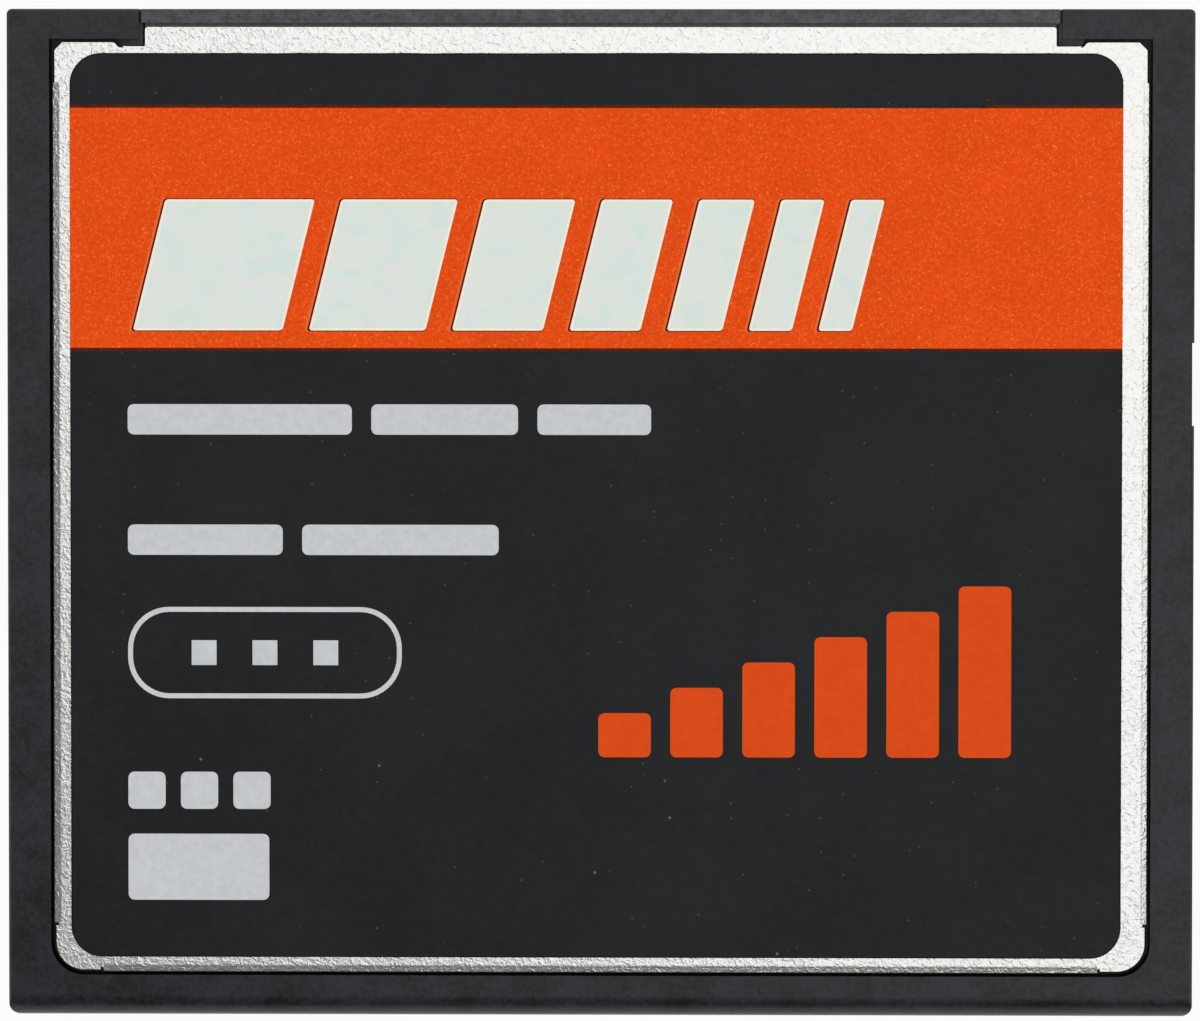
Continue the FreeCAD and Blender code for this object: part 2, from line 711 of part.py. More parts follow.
def controller_leads():
    """Bent leads on all four sides of the controller."""
    x, y = controller_centre()
    leads = []
    for angle in (0, 90, 180, 270):
        leads.extend(lead_row(
            CONTROLLER_SIZE / 2, CONTROLLER_LEADS_PER_SIDE, CONTROLLER_PITCH,
            CONTROLLER_REACH, CONTROLLER_LEAD_WIDTH, angle,
        ))
    group = Part.makeCompound(leads)
    group.translate(Vector(x, y, 0))
    return group


def flash_centre():
    """Plan place of the upper memory chip, from the right, rear and front edges of the board."""
    return BOARD_X - FLASH_MARGIN - FLASH_WIDTH / 2, (FLASH_REAR + FLASH_FRONT) / 2


def upper_flash_package():
    """The long thin moulded body of the memory chip on top of the board."""
    x, y = flash_centre()
    return package_body(x, y, FLASH_WIDTH, FLASH_FRONT - FLASH_REAR)


def upper_flash_leads():
    """Bent leads at both short ends of the upper memory chip."""
    x, y = flash_centre()
    half_length = (FLASH_FRONT - FLASH_REAR) / 2
    leads = []
    for angle in (90, 270):
        leads.extend(lead_row(
            half_length, FLASH_LEADS_PER_END, FLASH_PITCH, FLASH_REACH, FLASH_LEAD_WIDTH, angle,
        ))
    group = Part.makeCompound(leads)
    group.translate(Vector(x, y, 0))
    return group


def lower_flash_package():
    """The same memory chip under the board."""
    return mirrored_z(upper_flash_package())


def lower_flash_leads():
    """Bent leads of the lower memory chip."""
    return mirrored_z(upper_flash_leads())


def regulator_centre():
    """Plan place of the voltage regulator, near the right edge of the board."""
    x = BOARD_X - REGULATOR_MARGIN - REGULATOR_WIDTH / 2
    y = BOARD_REAR + REGULATOR_REAR_MARGIN
    return x, y


def regulator_package():
    """The small moulded body of the voltage regulator."""
    x, y = regulator_centre()
    return package_body(x, y, REGULATOR_WIDTH, REGULATOR_LENGTH)


def regulator_leads():
    """Three leads on one long side of the regulator, and two at the ends of the other."""
    x, y = regulator_centre()
    right_count, left_count = REGULATOR_LEADS
    leads = lead_row(
        REGULATOR_WIDTH / 2, right_count, REGULATOR_PITCH, REGULATOR_REACH, REGULATOR_LEAD_WIDTH, 0,
    )
    leads.extend(lead_row(
        REGULATOR_WIDTH / 2, left_count, 2 * REGULATOR_PITCH, REGULATOR_REACH, REGULATOR_LEAD_WIDTH, 180,
    ))
    group = Part.makeCompound(leads)
    group.translate(Vector(x, y, 0))
    return group


def capacitor_places():
    """Centres of the capacitors: a row behind the contact tails and a column beside the memory chip."""
    x0, _ = controller_centre()
    y = BOARD_FRONT - CAPACITOR_FRONT_MARGIN
    first = x0 - (CAPACITOR_COUNT - 1) * CAPACITOR_PITCH / 2
    row = [(first + index * CAPACITOR_PITCH, y) for index in range(CAPACITOR_COUNT)]
    x = regulator_centre()[0]
    start = BOARD_REAR + SIDE_CAPACITOR_REAR_MARGIN
    column = [(x, start + index * SIDE_CAPACITOR_PITCH) for index in range(SIDE_CAPACITOR_COUNT)]
    return row + column


def resistor_places():
    """Centres of the resistors: a row behind the contact tails, beside the capacitors."""
    x0, _ = flash_centre()
    y = BOARD_FRONT - RESISTOR_FRONT_MARGIN
    first = x0 - (RESISTOR_COUNT - 1) * RESISTOR_PITCH / 2
    return [(first + index * RESISTOR_PITCH, y) for index in range(RESISTOR_COUNT)]


def chip_bodies(places, length, end, width, height):
    """The bodies of small two-ended chips that lie along Y, between their end caps."""
    half = length / 2 - end
    bodies = []
    for x, y in places:
        bodies.append(block(x - width / 2, x + width / 2, y - half, y + half, BOARD_TOP, BOARD_TOP + height))
    return Part.makeCompound(bodies)


def chip_ends(places, length, end, width, height):
    """The metal end caps of small two-ended chips that lie along Y."""
    caps = []
    for x, y in places:
        for start in (y - length / 2, y + length / 2 - end):
            caps.append(block(
                x - width / 2, x + width / 2, start, start + end, BOARD_TOP, BOARD_TOP + height
            ))
    return Part.makeCompound(caps)


def capacitor_bodies():
    """Ceramic bodies of the capacitors."""
    return chip_bodies(
        capacitor_places(), CAPACITOR_LENGTH, CAPACITOR_END, CAPACITOR_WIDTH, CAPACITOR_HEIGHT
    )


def capacitor_ends():
    """Metal ends of the capacitors."""
    return chip_ends(
        capacitor_places(), CAPACITOR_LENGTH, CAPACITOR_END, CAPACITOR_WIDTH, CAPACITOR_HEIGHT
    )


def resistor_bodies():
    """Ceramic bodies of the resistors."""
    return chip_bodies(resistor_places(), RESISTOR_LENGTH, RESISTOR_END, RESISTOR_WIDTH, RESISTOR_HEIGHT)


def resistor_ends():
    """Metal ends of the resistors."""
    return chip_ends(resistor_places(), RESISTOR_LENGTH, RESISTOR_END, RESISTOR_WIDTH, RESISTOR_HEIGHT)


def label_sheet():
    """The dark printed label on the top cover."""
    plan = rectangle(LABEL_LEFT, LABEL_RIGHT, LABEL_REAR, LABEL_FRONT, LABEL_CORNER)
    return slab(plan, TOP_OUTER, LABEL_TOP)


def on_label(across, back):
    """Turns a place on the drawn sheet, from its left and front edges, into the card's x and y."""
    x = LABEL_LEFT + across * (LABEL_RIGHT - LABEL_LEFT) / DESIGN_WIDTH
    y = LABEL_FRONT - back * (LABEL_FRONT - LABEL_REAR) / DESIGN_LENGTH
    return x, y


def print_outline(across, back, width, height, rounding=0.0):
    """Gives the corners of a printed rectangle, each rounded by a share of its height."""
    x0, y1 = on_label(across, back)
    x1, y0 = on_label(across + width, back + height)
    return rectangle(x0, x1, y0, y1, rounding * (y1 - y0))


def printed(corners):
    """A flat printed shape on the label."""
    return slab(corners, LABEL_TOP, LABEL_TOP + INK)


def label_band():
    """The orange field across the whole label."""
    return printed(print_outline(0, BAND_FRONT, DESIGN_WIDTH, BAND_HEIGHT))


def raised_bars():
    """Thick white bars on the band, leaning to the right and narrowing one after another."""
    lean = BAR_HEIGHT * math.tan(math.radians(BAR_SLANT))
    rear = BAR_FRONT + BAR_HEIGHT
    across = BAR_LEFT
    width = BAR_FIRST_WIDTH
    bars = []
    for _ in range(BAR_COUNT):
        places = [
            (across, rear), (across + width, rear),
            (across + width + lean, BAR_FRONT), (across + lean, BAR_FRONT),
        ]
        corners = [(*on_label(*place), 0) for place in places]
        bars.append(slab(corners, LABEL_TOP + INK, LABEL_TOP + INK + BAR_THICKNESS))
        across += width + BAR_GAP
        width *= BAR_SHRINK
    return Part.makeCompound(bars)


def print_lines():
    """Two rows of grey bars."""
    shapes = []
    for front, words in ((FIRST_LINE_FRONT, FIRST_LINE_WORDS), (SECOND_LINE_FRONT, SECOND_LINE_WORDS)):
        across = PRINT_LEFT
        for length in words:
            shapes.append(printed(print_outline(across, front, length, LINE_HEIGHT)))
            across += length + LINE_GAP
    return Part.makeCompound(shapes)


def badge_ring():
    """A grey capsule outline with a row of small squares in it."""
    outer = print_outline(PRINT_LEFT, BADGE_FRONT, BADGE_LENGTH, BADGE_HEIGHT, BADGE_ROUNDING_RATIO)
    inner = print_outline(
        PRINT_LEFT + BADGE_STROKE, BADGE_FRONT + BADGE_STROKE,
        BADGE_LENGTH - 2 * BADGE_STROKE, BADGE_HEIGHT - 2 * BADGE_STROKE, BADGE_ROUNDING_RATIO,
    )
    shapes = [printed(outer).cut(slab(inner, LABEL_TOP - OVERCUT, LABEL_TOP + OVERCUT))]
    row_length = (BADGE_TILE_COUNT - 1) * BADGE_TILE_PITCH + BADGE_TILE
    across = PRINT_LEFT + (BADGE_LENGTH - row_length) / 2
    front = BADGE_FRONT + (BADGE_HEIGHT - BADGE_TILE) / 2
    for _ in range(BADGE_TILE_COUNT):
        shapes.append(printed(print_outline(across, front, BADGE_TILE, BADGE_TILE)))
        across += BADGE_TILE_PITCH
    return Part.makeCompound(shapes)


def grey_panel():
    """A blank light panel with a row of small square tiles in front of it."""
    shapes = [printed(print_outline(PRINT_LEFT, PANEL_FRONT, PANEL_LENGTH, PANEL_HEIGHT))]
    across = PRINT_LEFT
    for _ in range(TILE_COUNT):
        shapes.append(printed(print_outline(across, TILE_FRONT, TILE_SIZE, TILE_SIZE)))
        across += TILE_SIZE + TILE_GAP
    return Part.makeCompound(shapes)


def capacity_bars():
    """Orange bars that rise to the right."""
    shapes = []
    for index in range(RISER_COUNT):
        across = RISER_LEFT + index * (RISER_WIDTH + RISER_GAP)
        height = RISER_FIRST_HEIGHT + index * RISER_GAIN
        shapes.append(printed(print_outline(across, RISER_FOOT - height, RISER_WIDTH, height)))
    return Part.makeCompound(shapes)


PIECES = (
    frame,
    top_cover,
    bottom_cover,
    connector_housing,
    upper_contacts,
    lower_contacts,
    circuit_board,
    controller_package,
    controller_leads,
    upper_flash_package,
    upper_flash_leads,
    lower_flash_package,
    lower_flash_leads,
    regulator_package,
    regulator_leads,
    capacitor_bodies,
    capacitor_ends,
    resistor_bodies,
    resistor_ends,
    label_sheet,
    label_band,
    raised_bars,
    print_lines,
    badge_ring,
    grey_panel,
    capacity_bars,
)


def main():
    """Builds every piece and writes it to its own file."""
    os.makedirs("parts", exist_ok=True)
    for make in PIECES:
        shape = make()
        shape.exportStep("parts/" + make.__name__ + ".step")
        print(make.__name__, len(shape.Solids), "solids", round(shape.Volume, 3), "mm3", shape.isValid())


main()
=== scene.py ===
"""A compact flash card, label up, on a pale studio floor.

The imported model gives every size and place. This script gives the visible pieces softened edges, tight folds,
round sockets and print with real thickness, and gives each piece its finish. Lengths are in metres.
"""

import logging
import math
from dataclasses import dataclass
from enum import Enum
from typing import Any, Callable, Sequence, Union

import bmesh
import bpy
from mathutils import Color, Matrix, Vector


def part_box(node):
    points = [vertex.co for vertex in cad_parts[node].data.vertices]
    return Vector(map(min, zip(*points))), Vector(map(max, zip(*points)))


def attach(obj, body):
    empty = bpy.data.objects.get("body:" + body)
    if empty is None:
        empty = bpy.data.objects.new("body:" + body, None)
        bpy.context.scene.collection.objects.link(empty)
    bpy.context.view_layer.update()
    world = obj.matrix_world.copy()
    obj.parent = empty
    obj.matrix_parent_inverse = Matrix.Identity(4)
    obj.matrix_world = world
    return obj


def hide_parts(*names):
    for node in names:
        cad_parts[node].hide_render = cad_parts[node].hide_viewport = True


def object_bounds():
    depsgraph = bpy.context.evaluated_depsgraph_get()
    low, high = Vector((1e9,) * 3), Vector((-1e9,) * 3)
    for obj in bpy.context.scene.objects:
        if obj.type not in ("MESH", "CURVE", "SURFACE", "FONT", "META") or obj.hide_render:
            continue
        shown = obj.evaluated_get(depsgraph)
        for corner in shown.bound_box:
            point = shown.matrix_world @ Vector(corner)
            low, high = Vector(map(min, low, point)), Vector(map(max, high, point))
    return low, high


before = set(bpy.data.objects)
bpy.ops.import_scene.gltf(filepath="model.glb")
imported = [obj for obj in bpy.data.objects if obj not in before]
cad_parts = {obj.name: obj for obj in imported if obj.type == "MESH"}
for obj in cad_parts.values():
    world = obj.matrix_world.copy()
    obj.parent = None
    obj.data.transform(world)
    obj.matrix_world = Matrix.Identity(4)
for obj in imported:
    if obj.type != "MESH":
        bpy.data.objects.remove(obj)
CAD_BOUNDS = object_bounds()

LOG = logging.getLogger("card")
MM = 0.001
BODY = "root"
FRONT_FACE = CAD_BOUNDS[1][1]
SAME_POINT = 0.0005 * MM
TOUCHING = 0.001 * MM
NEAR = 0.01 * MM

Colour = tuple[float, float, float, float]
Noise = tuple[float, float, float]
Piece = bpy.types.Object
Step = tuple[float, float]
Test = Callable[[Any], bool]
Triple = tuple[float, float, float]

PURE_WHITE: Colour = (1.0, 1.0, 1.0, 1.0)
SOFT_STEP: Step = (0.34, 0.66)


def screen(red: int, green: int, blue: int) -> Colour:
    """Turns a colour as a screen shows it, 0 to 255, into the linear values that a shader takes."""
    return (*Color((red / 255, green / 255, blue / 255)).from_srgb_to_scene_linear(), 1.0)


def scaled(colour: Colour, factor: float) -> Colour:
    """Gives a colour made lighter or darker by a factor."""
    return colour[0] * factor, colour[1] * factor, colour[2] * factor, colour[3]


class Wire:
    """One output of a node. Arithmetic on number wires adds Math nodes."""

    def __init__(self, graph: "Graph", socket: bpy.types.NodeSocket) -> None:
        """Keeps the graph that the wire belongs to and its socket."""
        self.graph = graph
        self.socket = socket

    def also(self, output: Union[str, int]) -> "Wire":
        """Gives another output of the same node."""
        return Wire(self.graph, self.socket.node.outputs[output])

    def _math(self, operation: str, first: "Number", second: "Number") -> "Wire":
        """Adds one Math node on two values."""
        return self.graph.node("ShaderNodeMath", {"operation": operation}, {0: first, 1: second})

    def __add__(self, other: "Number") -> "Wire":
        """Sum."""
        return self._math("ADD", self, other)

    def __radd__(self, other: "Number") -> "Wire":
        """Sum, number first."""
        return self._math("ADD", other, self)

    def __sub__(self, other: "Number") -> "Wire":
        """Difference."""
        return self._math("SUBTRACT", self, other)

    def __rsub__(self, other: "Number") -> "Wire":
        """Difference, number first."""
        return self._math("SUBTRACT", other, self)

    def __mul__(self, other: "Number") -> "Wire":
        """Product."""
        return self._math("MULTIPLY", self, other)

    def __rmul__(self, other: "Number") -> "Wire":
        """Product, number first."""
        return self._math("MULTIPLY", other, self)


Number = Union[Wire, float]


@dataclass(frozen=True)
class Specks:
    """One layer of scattered round specks.

    The pitch is the mean distance between the places where a speck may lie, the size is a speck's diameter,
    the share says how many of the places hold one, and the strength says how much a speck covers.
    """

    pitch: float
    size: float
    share: float
    strength: float = 1.0
    core: float = 0.4
    fade: float = 0.8


class Graph:
    """Builds the nodes of one material or of the world."""

    def __init__(self, owner: Union[bpy.types.Material, bpy.types.World]) -> None:
        """Clears the owner's node tree for a new set of nodes."""
        owner.use_nodes = True
        self.owner = owner
        self.tree = owner.node_tree
        self.tree.nodes.clear()

    def node(self, kind: str, settings: Union[dict[str, Any], None] = None,
             values: Union[dict[Union[str, int], Any], None] = None, output: Union[str, int] = 0) -> Wire:
        """Adds a node.

        Args:
            kind: The node's type.
            settings: Its settings, set before its sockets.
            values: A number, colour or wire for each named or numbered input.
            output: The output to give back.

        Returns:
            The chosen output.
        """
        made = self.tree.nodes.new(kind)
        for name, value in (settings or {}).items():
            setattr(made, name, value)
        for key, value in (values or {}).items():
            if isinstance(value, Wire):
                self.tree.links.new(value.socket, made.inputs[key])
            else:
                made.inputs[key].default_value = value
        return Wire(self, made.outputs[output])

    def place(self) -> Wire:
        """The point on the piece, in metres, in the card's own frame."""
        return self.node("ShaderNodeTexCoord", output="Object")

    def noise(self, size: float, detail: float = 2.0, roughness: float = 0.5, distortion: float = 0.0,
              stretch: Triple = (1.0, 1.0, 1.0)) -> Wire:
        """Adds soft noise.

        Args:
            size: Size of one patch, in metres.
            detail: Octaves of finer noise.
            roughness: Strength of the finer noise.
            distortion: How far the pattern is warped.
            stretch: Scale of the pattern along each axis.

        Returns:
            A value around 0.5.
        """
        place = self.node("ShaderNodeMapping", None, {"Vector": self.place(), "Scale": stretch})
        return self.node("ShaderNodeTexNoise", None, {
            "Vector": place, "Scale": 1 / size, "Detail": detail, "Roughness": roughness,
            "Distortion": distortion,
        })

    def rise(self, value: Number, low: float, high: float) -> Wire:
        """Gives a smooth step from 0 at low to 1 at high."""
        return self.node("ShaderNodeMapRange", {"interpolation_type": "SMOOTHSTEP"}, {
            "Value": value, "From Min": low, "From Max": high,
        })

    def specks(self, *layers: Specks) -> Wire:
        """Adds layers of specks.

        Args:
            layers: The layers, coarse ones first.

        Returns:
            The sum of the layers: a layer's strength in its specks and 0 elsewhere.
        """
        covers = []
        for layer in layers:
            place = {"Vector": self.place(), "Scale": 1 / layer.pitch}
            cells = self.node("ShaderNodeTexVoronoi", None, place)
            chance = self.node("ShaderNodeSeparateColor", None, {0: cells.also("Color")})
            reach = layer.size / layer.pitch / 2
            near = 1 - self.rise(cells, reach * layer.core, reach)
            chosen = self.rise(chance, 1 - layer.share, 1 - layer.share * layer.fade)
            covers.append(near * chosen * layer.strength)
        return sum(covers[1:], covers[0])

    def blend(self, factor: Number, first: Union[Wire, Colour], second: Union[Wire, Colour]) -> Wire:
        """Mixes two colours, from the first at 0 to the second at 1."""
        values = {0: factor, 6: first, 7: second}
        return self.node("ShaderNodeMix", {"data_type": "RGBA"}, values, 2)

    def tint(self, tone: Wire, colour: Colour, darker: float, lighter: float, step: Step = SOFT_STEP) -> Wire:
        """Makes a colour darker where a tone is low and lighter where it is high, by these shares."""
        return self.blend(self.rise(tone, *step), scaled(colour, 1 - darker), scaled(colour, 1 + lighter))

    def bump(self, height: Wire, depth: float) -> Wire:
        """Turns a height from 0 to 1 into a bumped normal, with the real depth in metres."""
        return self.node("ShaderNodeBump", None, {"Height": height, "Distance": depth, "Strength": 1.0})

    def surface(self, values: dict[str, Any]) -> None:
        """Ends the graph with one principled surface."""
        self.finish(self.node("ShaderNodeBsdfPrincipled", None, values))

    def finish(self, shader: Wire) -> None:
        """Joins a shader to the output."""
        is_world = isinstance(self.owner, bpy.types.World)
        made = self.tree.nodes.new("ShaderNodeOutputWorld" if is_world else "ShaderNodeOutputMaterial")
        self.tree.links.new(shader.socket, made.inputs["Surface"])


@dataclass(frozen=True)
class Finish:
    """A surface finish, named after its slot; each kind says how its material is built."""

    name: str

    def material(self) -> bpy.types.Material:
        """Gives the finish's material, built on first use."""
        name = f"{self.name}_finish"
        found = bpy.data.materials.get(name)
        if found is None:
            found = bpy.data.materials.new(name)
            self.build(Graph(found))
        return found

    def build(self, graph: Graph) -> None:
        """Builds the nodes."""
        raise NotImplementedError

    def dress(self, piece: Piece) -> None:
        """Puts the finish on all of a piece."""
        material = self.material()
        if not piece.material_slots:
            piece.data.materials.append(material)
        for material_slot in piece.material_slots:
            material_slot.material = material


@dataclass(frozen=True)
class MottledPlastic(Finish):
    """Plastic or film: clouds and a fine grain tint it, the grain bumps it, and specks may lie on it."""

    colour: Colour
    contrast: float = 0.80
    cloud: Noise = (1.3 * MM, 3.0, 0.6)
    cloud_share: float = 0.5
    cloud_drift: float = 0.10
    grain: Noise = (0.17 * MM, 2.0, 0.6)
    grain_drift: float = 0.0
    step: Step = SOFT_STEP
    depth: float = 0.006 * MM
    roughness: float = 0.36
    specular: float = 0.38
    specks: tuple[Specks, ...] = ()
    dust_and_glint_colour: Colour = (0.55, 0.55, 0.53, 1.0)

    def build(self, graph: Graph) -> None:
        """Both noises make the tint, and each may let the roughness drift."""
        cloud = graph.noise(*self.cloud)
        grain = graph.noise(*self.grain)
        tone = cloud * self.cloud_share + grain * (1 - self.cloud_share)
        base = graph.tint(tone, self.colour, self.contrast, self.contrast, self.step)
        # The specks are dust on the frame and film, and painted glints on the band.
        if self.specks:
            base = graph.blend(graph.specks(*self.specks), base, self.dust_and_glint_colour)
        drifts = ((self.cloud_drift, cloud), (self.grain_drift, grain))
        graph.surface({
            "Base Color": base,
            "Roughness": sum((drift * (noise - 0.5) for drift, noise in drifts if drift), self.roughness),
            "Specular IOR Level": self.specular,
            "Normal": graph.bump(grain, self.depth),
        })


@dataclass(frozen=True)
class BlastedSteel(Finish):
    """Stainless sheet, bead-blasted to a fine wavy grain."""

    colour: Colour
    grain: float = 0.19 * MM
    warp: float = 1.2
    depth: float = 0.024 * MM
    pit_step: Step = (0.30, 0.50)
    pit_shade_cover: float = 0.10
    pit_painted_shade: float = 0.45
    pit_roughness: float = 0.12
    roughness: float = 0.25
    roughness_drift: float = 0.08
    drift: float = 2.66 * MM

    def build(self, graph: Graph) -> None:
        """Warped noise gives the grain; the low places get a little painted shade and are rougher."""
        grain = graph.noise(self.grain, 1.0, 0.5, self.warp)
        broad = graph.noise(self.drift, 2.0, 0.5)
        pits = 1 - graph.rise(grain, *self.pit_step)
        # The darker base colour in the low places of the grain is painted shade.
        shaded = scaled(self.colour, self.pit_painted_shade)
        graph.surface({
            "Base Color": graph.blend(pits * self.pit_shade_cover, self.colour, shaded),
            "Metallic": 1.0,
            "Roughness": self.roughness + self.pit_roughness * pits + self.roughness_drift * (broad - 0.5),
            "Normal": graph.bump(grain, self.depth),
        })


@dataclass(frozen=True)
class GlossPrint(Finish):
    """Thick white gloss print with a faint pearly sheen painted into its colour."""

    colour: Colour
    cool: Colour
    warm: Colour
    cool_patch: float = 1.1 * MM
    cool_step: Step = (0.45, 0.72)
    warm_patch: float = 0.7 * MM
    warm_step: Step = (0.54, 0.74)
    warm_share: float = 0.8
    depth: float = 0.004 * MM
    roughness: float = 0.22
    roughness_drift: float = 0.10

    def build(self, graph: Graph) -> None:
        """Slow noise drifts the white between a cool and a warm tint, which is a painted pearly sheen."""
        drift = graph.noise(self.cool_patch, 2.0, 0.5, 0.8)
        streak = graph.noise(self.warm_patch, 3.0, 0.6, 0.4, (1.0, 2.6, 1.0))
        # The cool and warm tints are a painted pearly sheen.
        base = graph.blend(graph.rise(drift, *self.cool_step), self.colour, self.cool)
        base = graph.blend(graph.rise(streak, *self.warm_step) * self.warm_share, base, self.warm)
        graph.surface({
            "Base Color": base,
            "Roughness": self.roughness + self.roughness_drift * (streak - 0.5),
            "Specular IOR Level": 0.4,
            "Coat Weight": 0.35,
            "Coat Roughness": 0.06,
            "Normal": graph.bump(streak, self.depth),
        })


@dataclass(frozen=True)
class FlatPrint(Finish):
    """Screen-printed ink, slightly uneven."""

    colour: Colour
    contrast: float = 0.06
    specular: float = 0.3
    mottle: float = 0.28 * MM
    depth: float = 0.0015 * MM
    roughness: float = 0.48
    roughness_drift: float = 0.12

    def build(self, graph: Graph) -> None:
        """Fine noise makes the ink uneven."""
        fine = graph.noise(self.mottle, 3.0, 0.65)
        graph.surface({
            "Base Color": graph.tint(fine, self.colour, self.contrast, self.contrast / 2),
            "Roughness": self.roughness + self.roughness_drift * (fine - 0.5),
            "Specular IOR Level": self.specular,
            "Normal": graph.bump(fine, self.depth),
        })


@dataclass(frozen=True)
class Plated(Finish):
    """Plated metal with fine rolling marks."""

    colour: Colour
    roughness: float = 0.28
    roughness_drift: float = 0.14
    mark: float = 0.05 * MM
    mark_stretch: float = 0.15
    mark_depth: float = 0.002 * MM
    tarnish: float = 0.6 * MM
    tarnish_step: Step = (0.45, 0.75)
    tarnish_cover: float = 0.4
    tarnish_shade: float = 0.72

    def build(self, graph: Graph) -> None:
        """Stretched noise makes rolling marks, and soft noise makes the plating uneven."""
        marks = graph.noise(self.mark, 2.0, 0.6, 0.0, (1.0, self.mark_stretch, 1.0))
        tarnish = graph.noise(self.tarnish, 3.0, 0.6)
        cover = graph.rise(tarnish, *self.tarnish_step) * self.tarnish_cover
        graph.surface({
            "Base Color": graph.blend(cover, self.colour, scaled(self.colour, self.tarnish_shade)),
            "Metallic": 1.0,
            "Roughness": self.roughness + self.roughness_drift * (tarnish - 0.5),
            "Normal": graph.bump(marks, self.mark_depth),
        })


@dataclass(frozen=True)
class Laminate(Finish):
    """Glass-fibre board under a green solder mask, with a weave that shows through."""

    mask: Colour
    copper: Colour
    weave: float = 0.42 * MM
    weave_cover: float = 0.25
    weave_shade: float = 0.55
    weave_depth: float = 0.004 * MM
    trace: float = 1.4 * MM
    trace_step: Step = (0.50, 0.53)
    trace_cover: float = 0.35
    trace_depth: float = 0.02 * MM
    trace_strength: float = 0.6
    roughness: float = 0.30
    roughness_drift: float = 0.10

    def build(self, graph: Graph) -> None:
        """Crossed waves make the weave; noise lets some of the copper show through."""
        across, along = (
            graph.node("ShaderNodeTexWave", {"bands_direction": axis}, {
                "Vector": graph.place(), "Scale": 0.3 / self.weave, "Distortion": 0.6,
            }, 1)
            for axis in "XY"
        )
        traces = graph.rise(graph.noise(self.trace, 1.0, 0.4), *self.trace_step)
        weave = across * 0.5 + along * 0.5
        base = graph.blend(traces * self.trace_cover, self.mask, self.copper)
        base = graph.blend(weave * self.weave_cover, base, scaled(self.mask, self.weave_shade))
        raised = graph.node("ShaderNodeBump", None, {
            "Height": traces, "Distance": self.trace_depth, "Strength": self.trace_strength,
            "Normal": graph.bump(weave, self.weave_depth),
        })
        graph.surface({
            "Base Color": base,
            "Roughness": self.roughness + self.roughness_drift * (weave - 0.5),
            "Coat Weight": 0.4,
            "Normal": raised,
        })


class Cloth(Enum):
    """The finish of each slot of the record."""

    FRAME = MottledPlastic(
        "frame_plastic", (0.0074, 0.0102, 0.0125, 1.0), specks=(Specks(2.6 * MM, 0.11 * MM, 0.30),),
    )
    STEEL = BlastedSteel("cover_steel", (0.83, 0.82, 0.80, 1.0))
    HOUSING = MottledPlastic(
        "connector_plastic", (0.0285, 0.0315, 0.036, 1.0), cloud=(0.45 * MM, 3.0, 0.6),
        grain=(0.15 * MM, 2.0, 0.6), roughness=0.42, specular=0.70,
    )
    GOLD = Plated("contact_metal", (0.83, 0.58, 0.22, 1.0))
    BOARD = Laminate("board_laminate", (0.010, 0.075, 0.032, 1.0), (0.10, 0.16, 0.05, 1.0))
    RESIN = MottledPlastic(
        "chip_resin", screen(34, 35, 37), 0.12, cloud=(0.9 * MM, 3.0, 0.6),
        grain=(0.07 * MM, 2.0, 0.6), depth=0.003 * MM, roughness=0.55, specular=0.4,
    )
    TIN = Plated("lead_metal", (0.70, 0.70, 0.68, 1.0), 0.34)
    CAPACITOR = FlatPrint("capacitor_ceramic", (0.34, 0.22, 0.12, 1.0), 0.12)
    RESISTOR = FlatPrint("resistor_ceramic", (0.012, 0.012, 0.014, 1.0), 0.12, 0.5)
    FILM = MottledPlastic(
        "label_dark", (0.0111, 0.0128, 0.0137, 1.0), 0.20, cloud=(5.0 * MM, 3.0, 0.6), cloud_drift=0.0,
        grain=(0.35 * MM, 3.0, 0.6), grain_drift=0.10, depth=0.0015 * MM, roughness=0.42, specular=0.14,
        specks=(Specks(1.3 * MM, 0.13 * MM, 0.22, 0.85), Specks(0.40 * MM, 0.09 * MM, 0.22, 0.40)),
        dust_and_glint_colour=screen(112, 114, 116),
    )
    # The band's bright specks are painted glints of its glitter.
    BAND = MottledPlastic(
        "label_orange", screen(234, 78, 13), 0.12, cloud=(1.8 * MM, 2.0, 0.5), cloud_share=0.2,
        cloud_drift=0.0, grain=(0.14 * MM, 2.0, 0.6), step=(0.32, 0.68), depth=0.0020 * MM,
        roughness=0.45, specular=0.06,
        specks=(Specks(0.34 * MM, 0.12 * MM, 0.55, 0.55), Specks(0.12 * MM, 0.095 * MM, 0.80, 0.42)),
        dust_and_glint_colour=screen(255, 134, 70),
    )
    WHITE = GlossPrint(
        "raised_white", screen(225, 233, 225), screen(215, 232, 224), screen(232, 225, 228),
    )
    GREY = FlatPrint("print_grey", screen(205, 208, 210))
    ORANGE = FlatPrint("print_red", screen(226, 78, 22), 0.05, 0.06)


RIM = FlatPrint("raised_rim", screen(255, 242, 222), 0.03, 0.4)
# Dark red-brown ink: along the band's edges it is print, and under each raised bar, shifted left, it is a
# painted shadow.
EDGE_INK_AND_SHADOW = FlatPrint("edge_ink_and_painted_shadow", screen(84, 34, 20), 0.20, 0.06)
# The swelling round each raised bar is real; its brighter orange is a painted highlight.
SWELL_HIGHLIGHT = FlatPrint("swelling", screen(246, 104, 50), 0.06, 0.10)
# A darker ring round the film's top and on its sides: a painted shadow of the film's thickness.
FILM_BORDER_SHADOW = FlatPrint("film_border_shadow", screen(14, 14, 15), 0.10, 0.10)


def deselect() -> None:
    """Leaves edit mode and deselects everything."""
    if bpy.context.mode != "OBJECT":
        bpy.ops.object.mode_set(mode="OBJECT")
    bpy.ops.object.select_all(action="DESELECT")


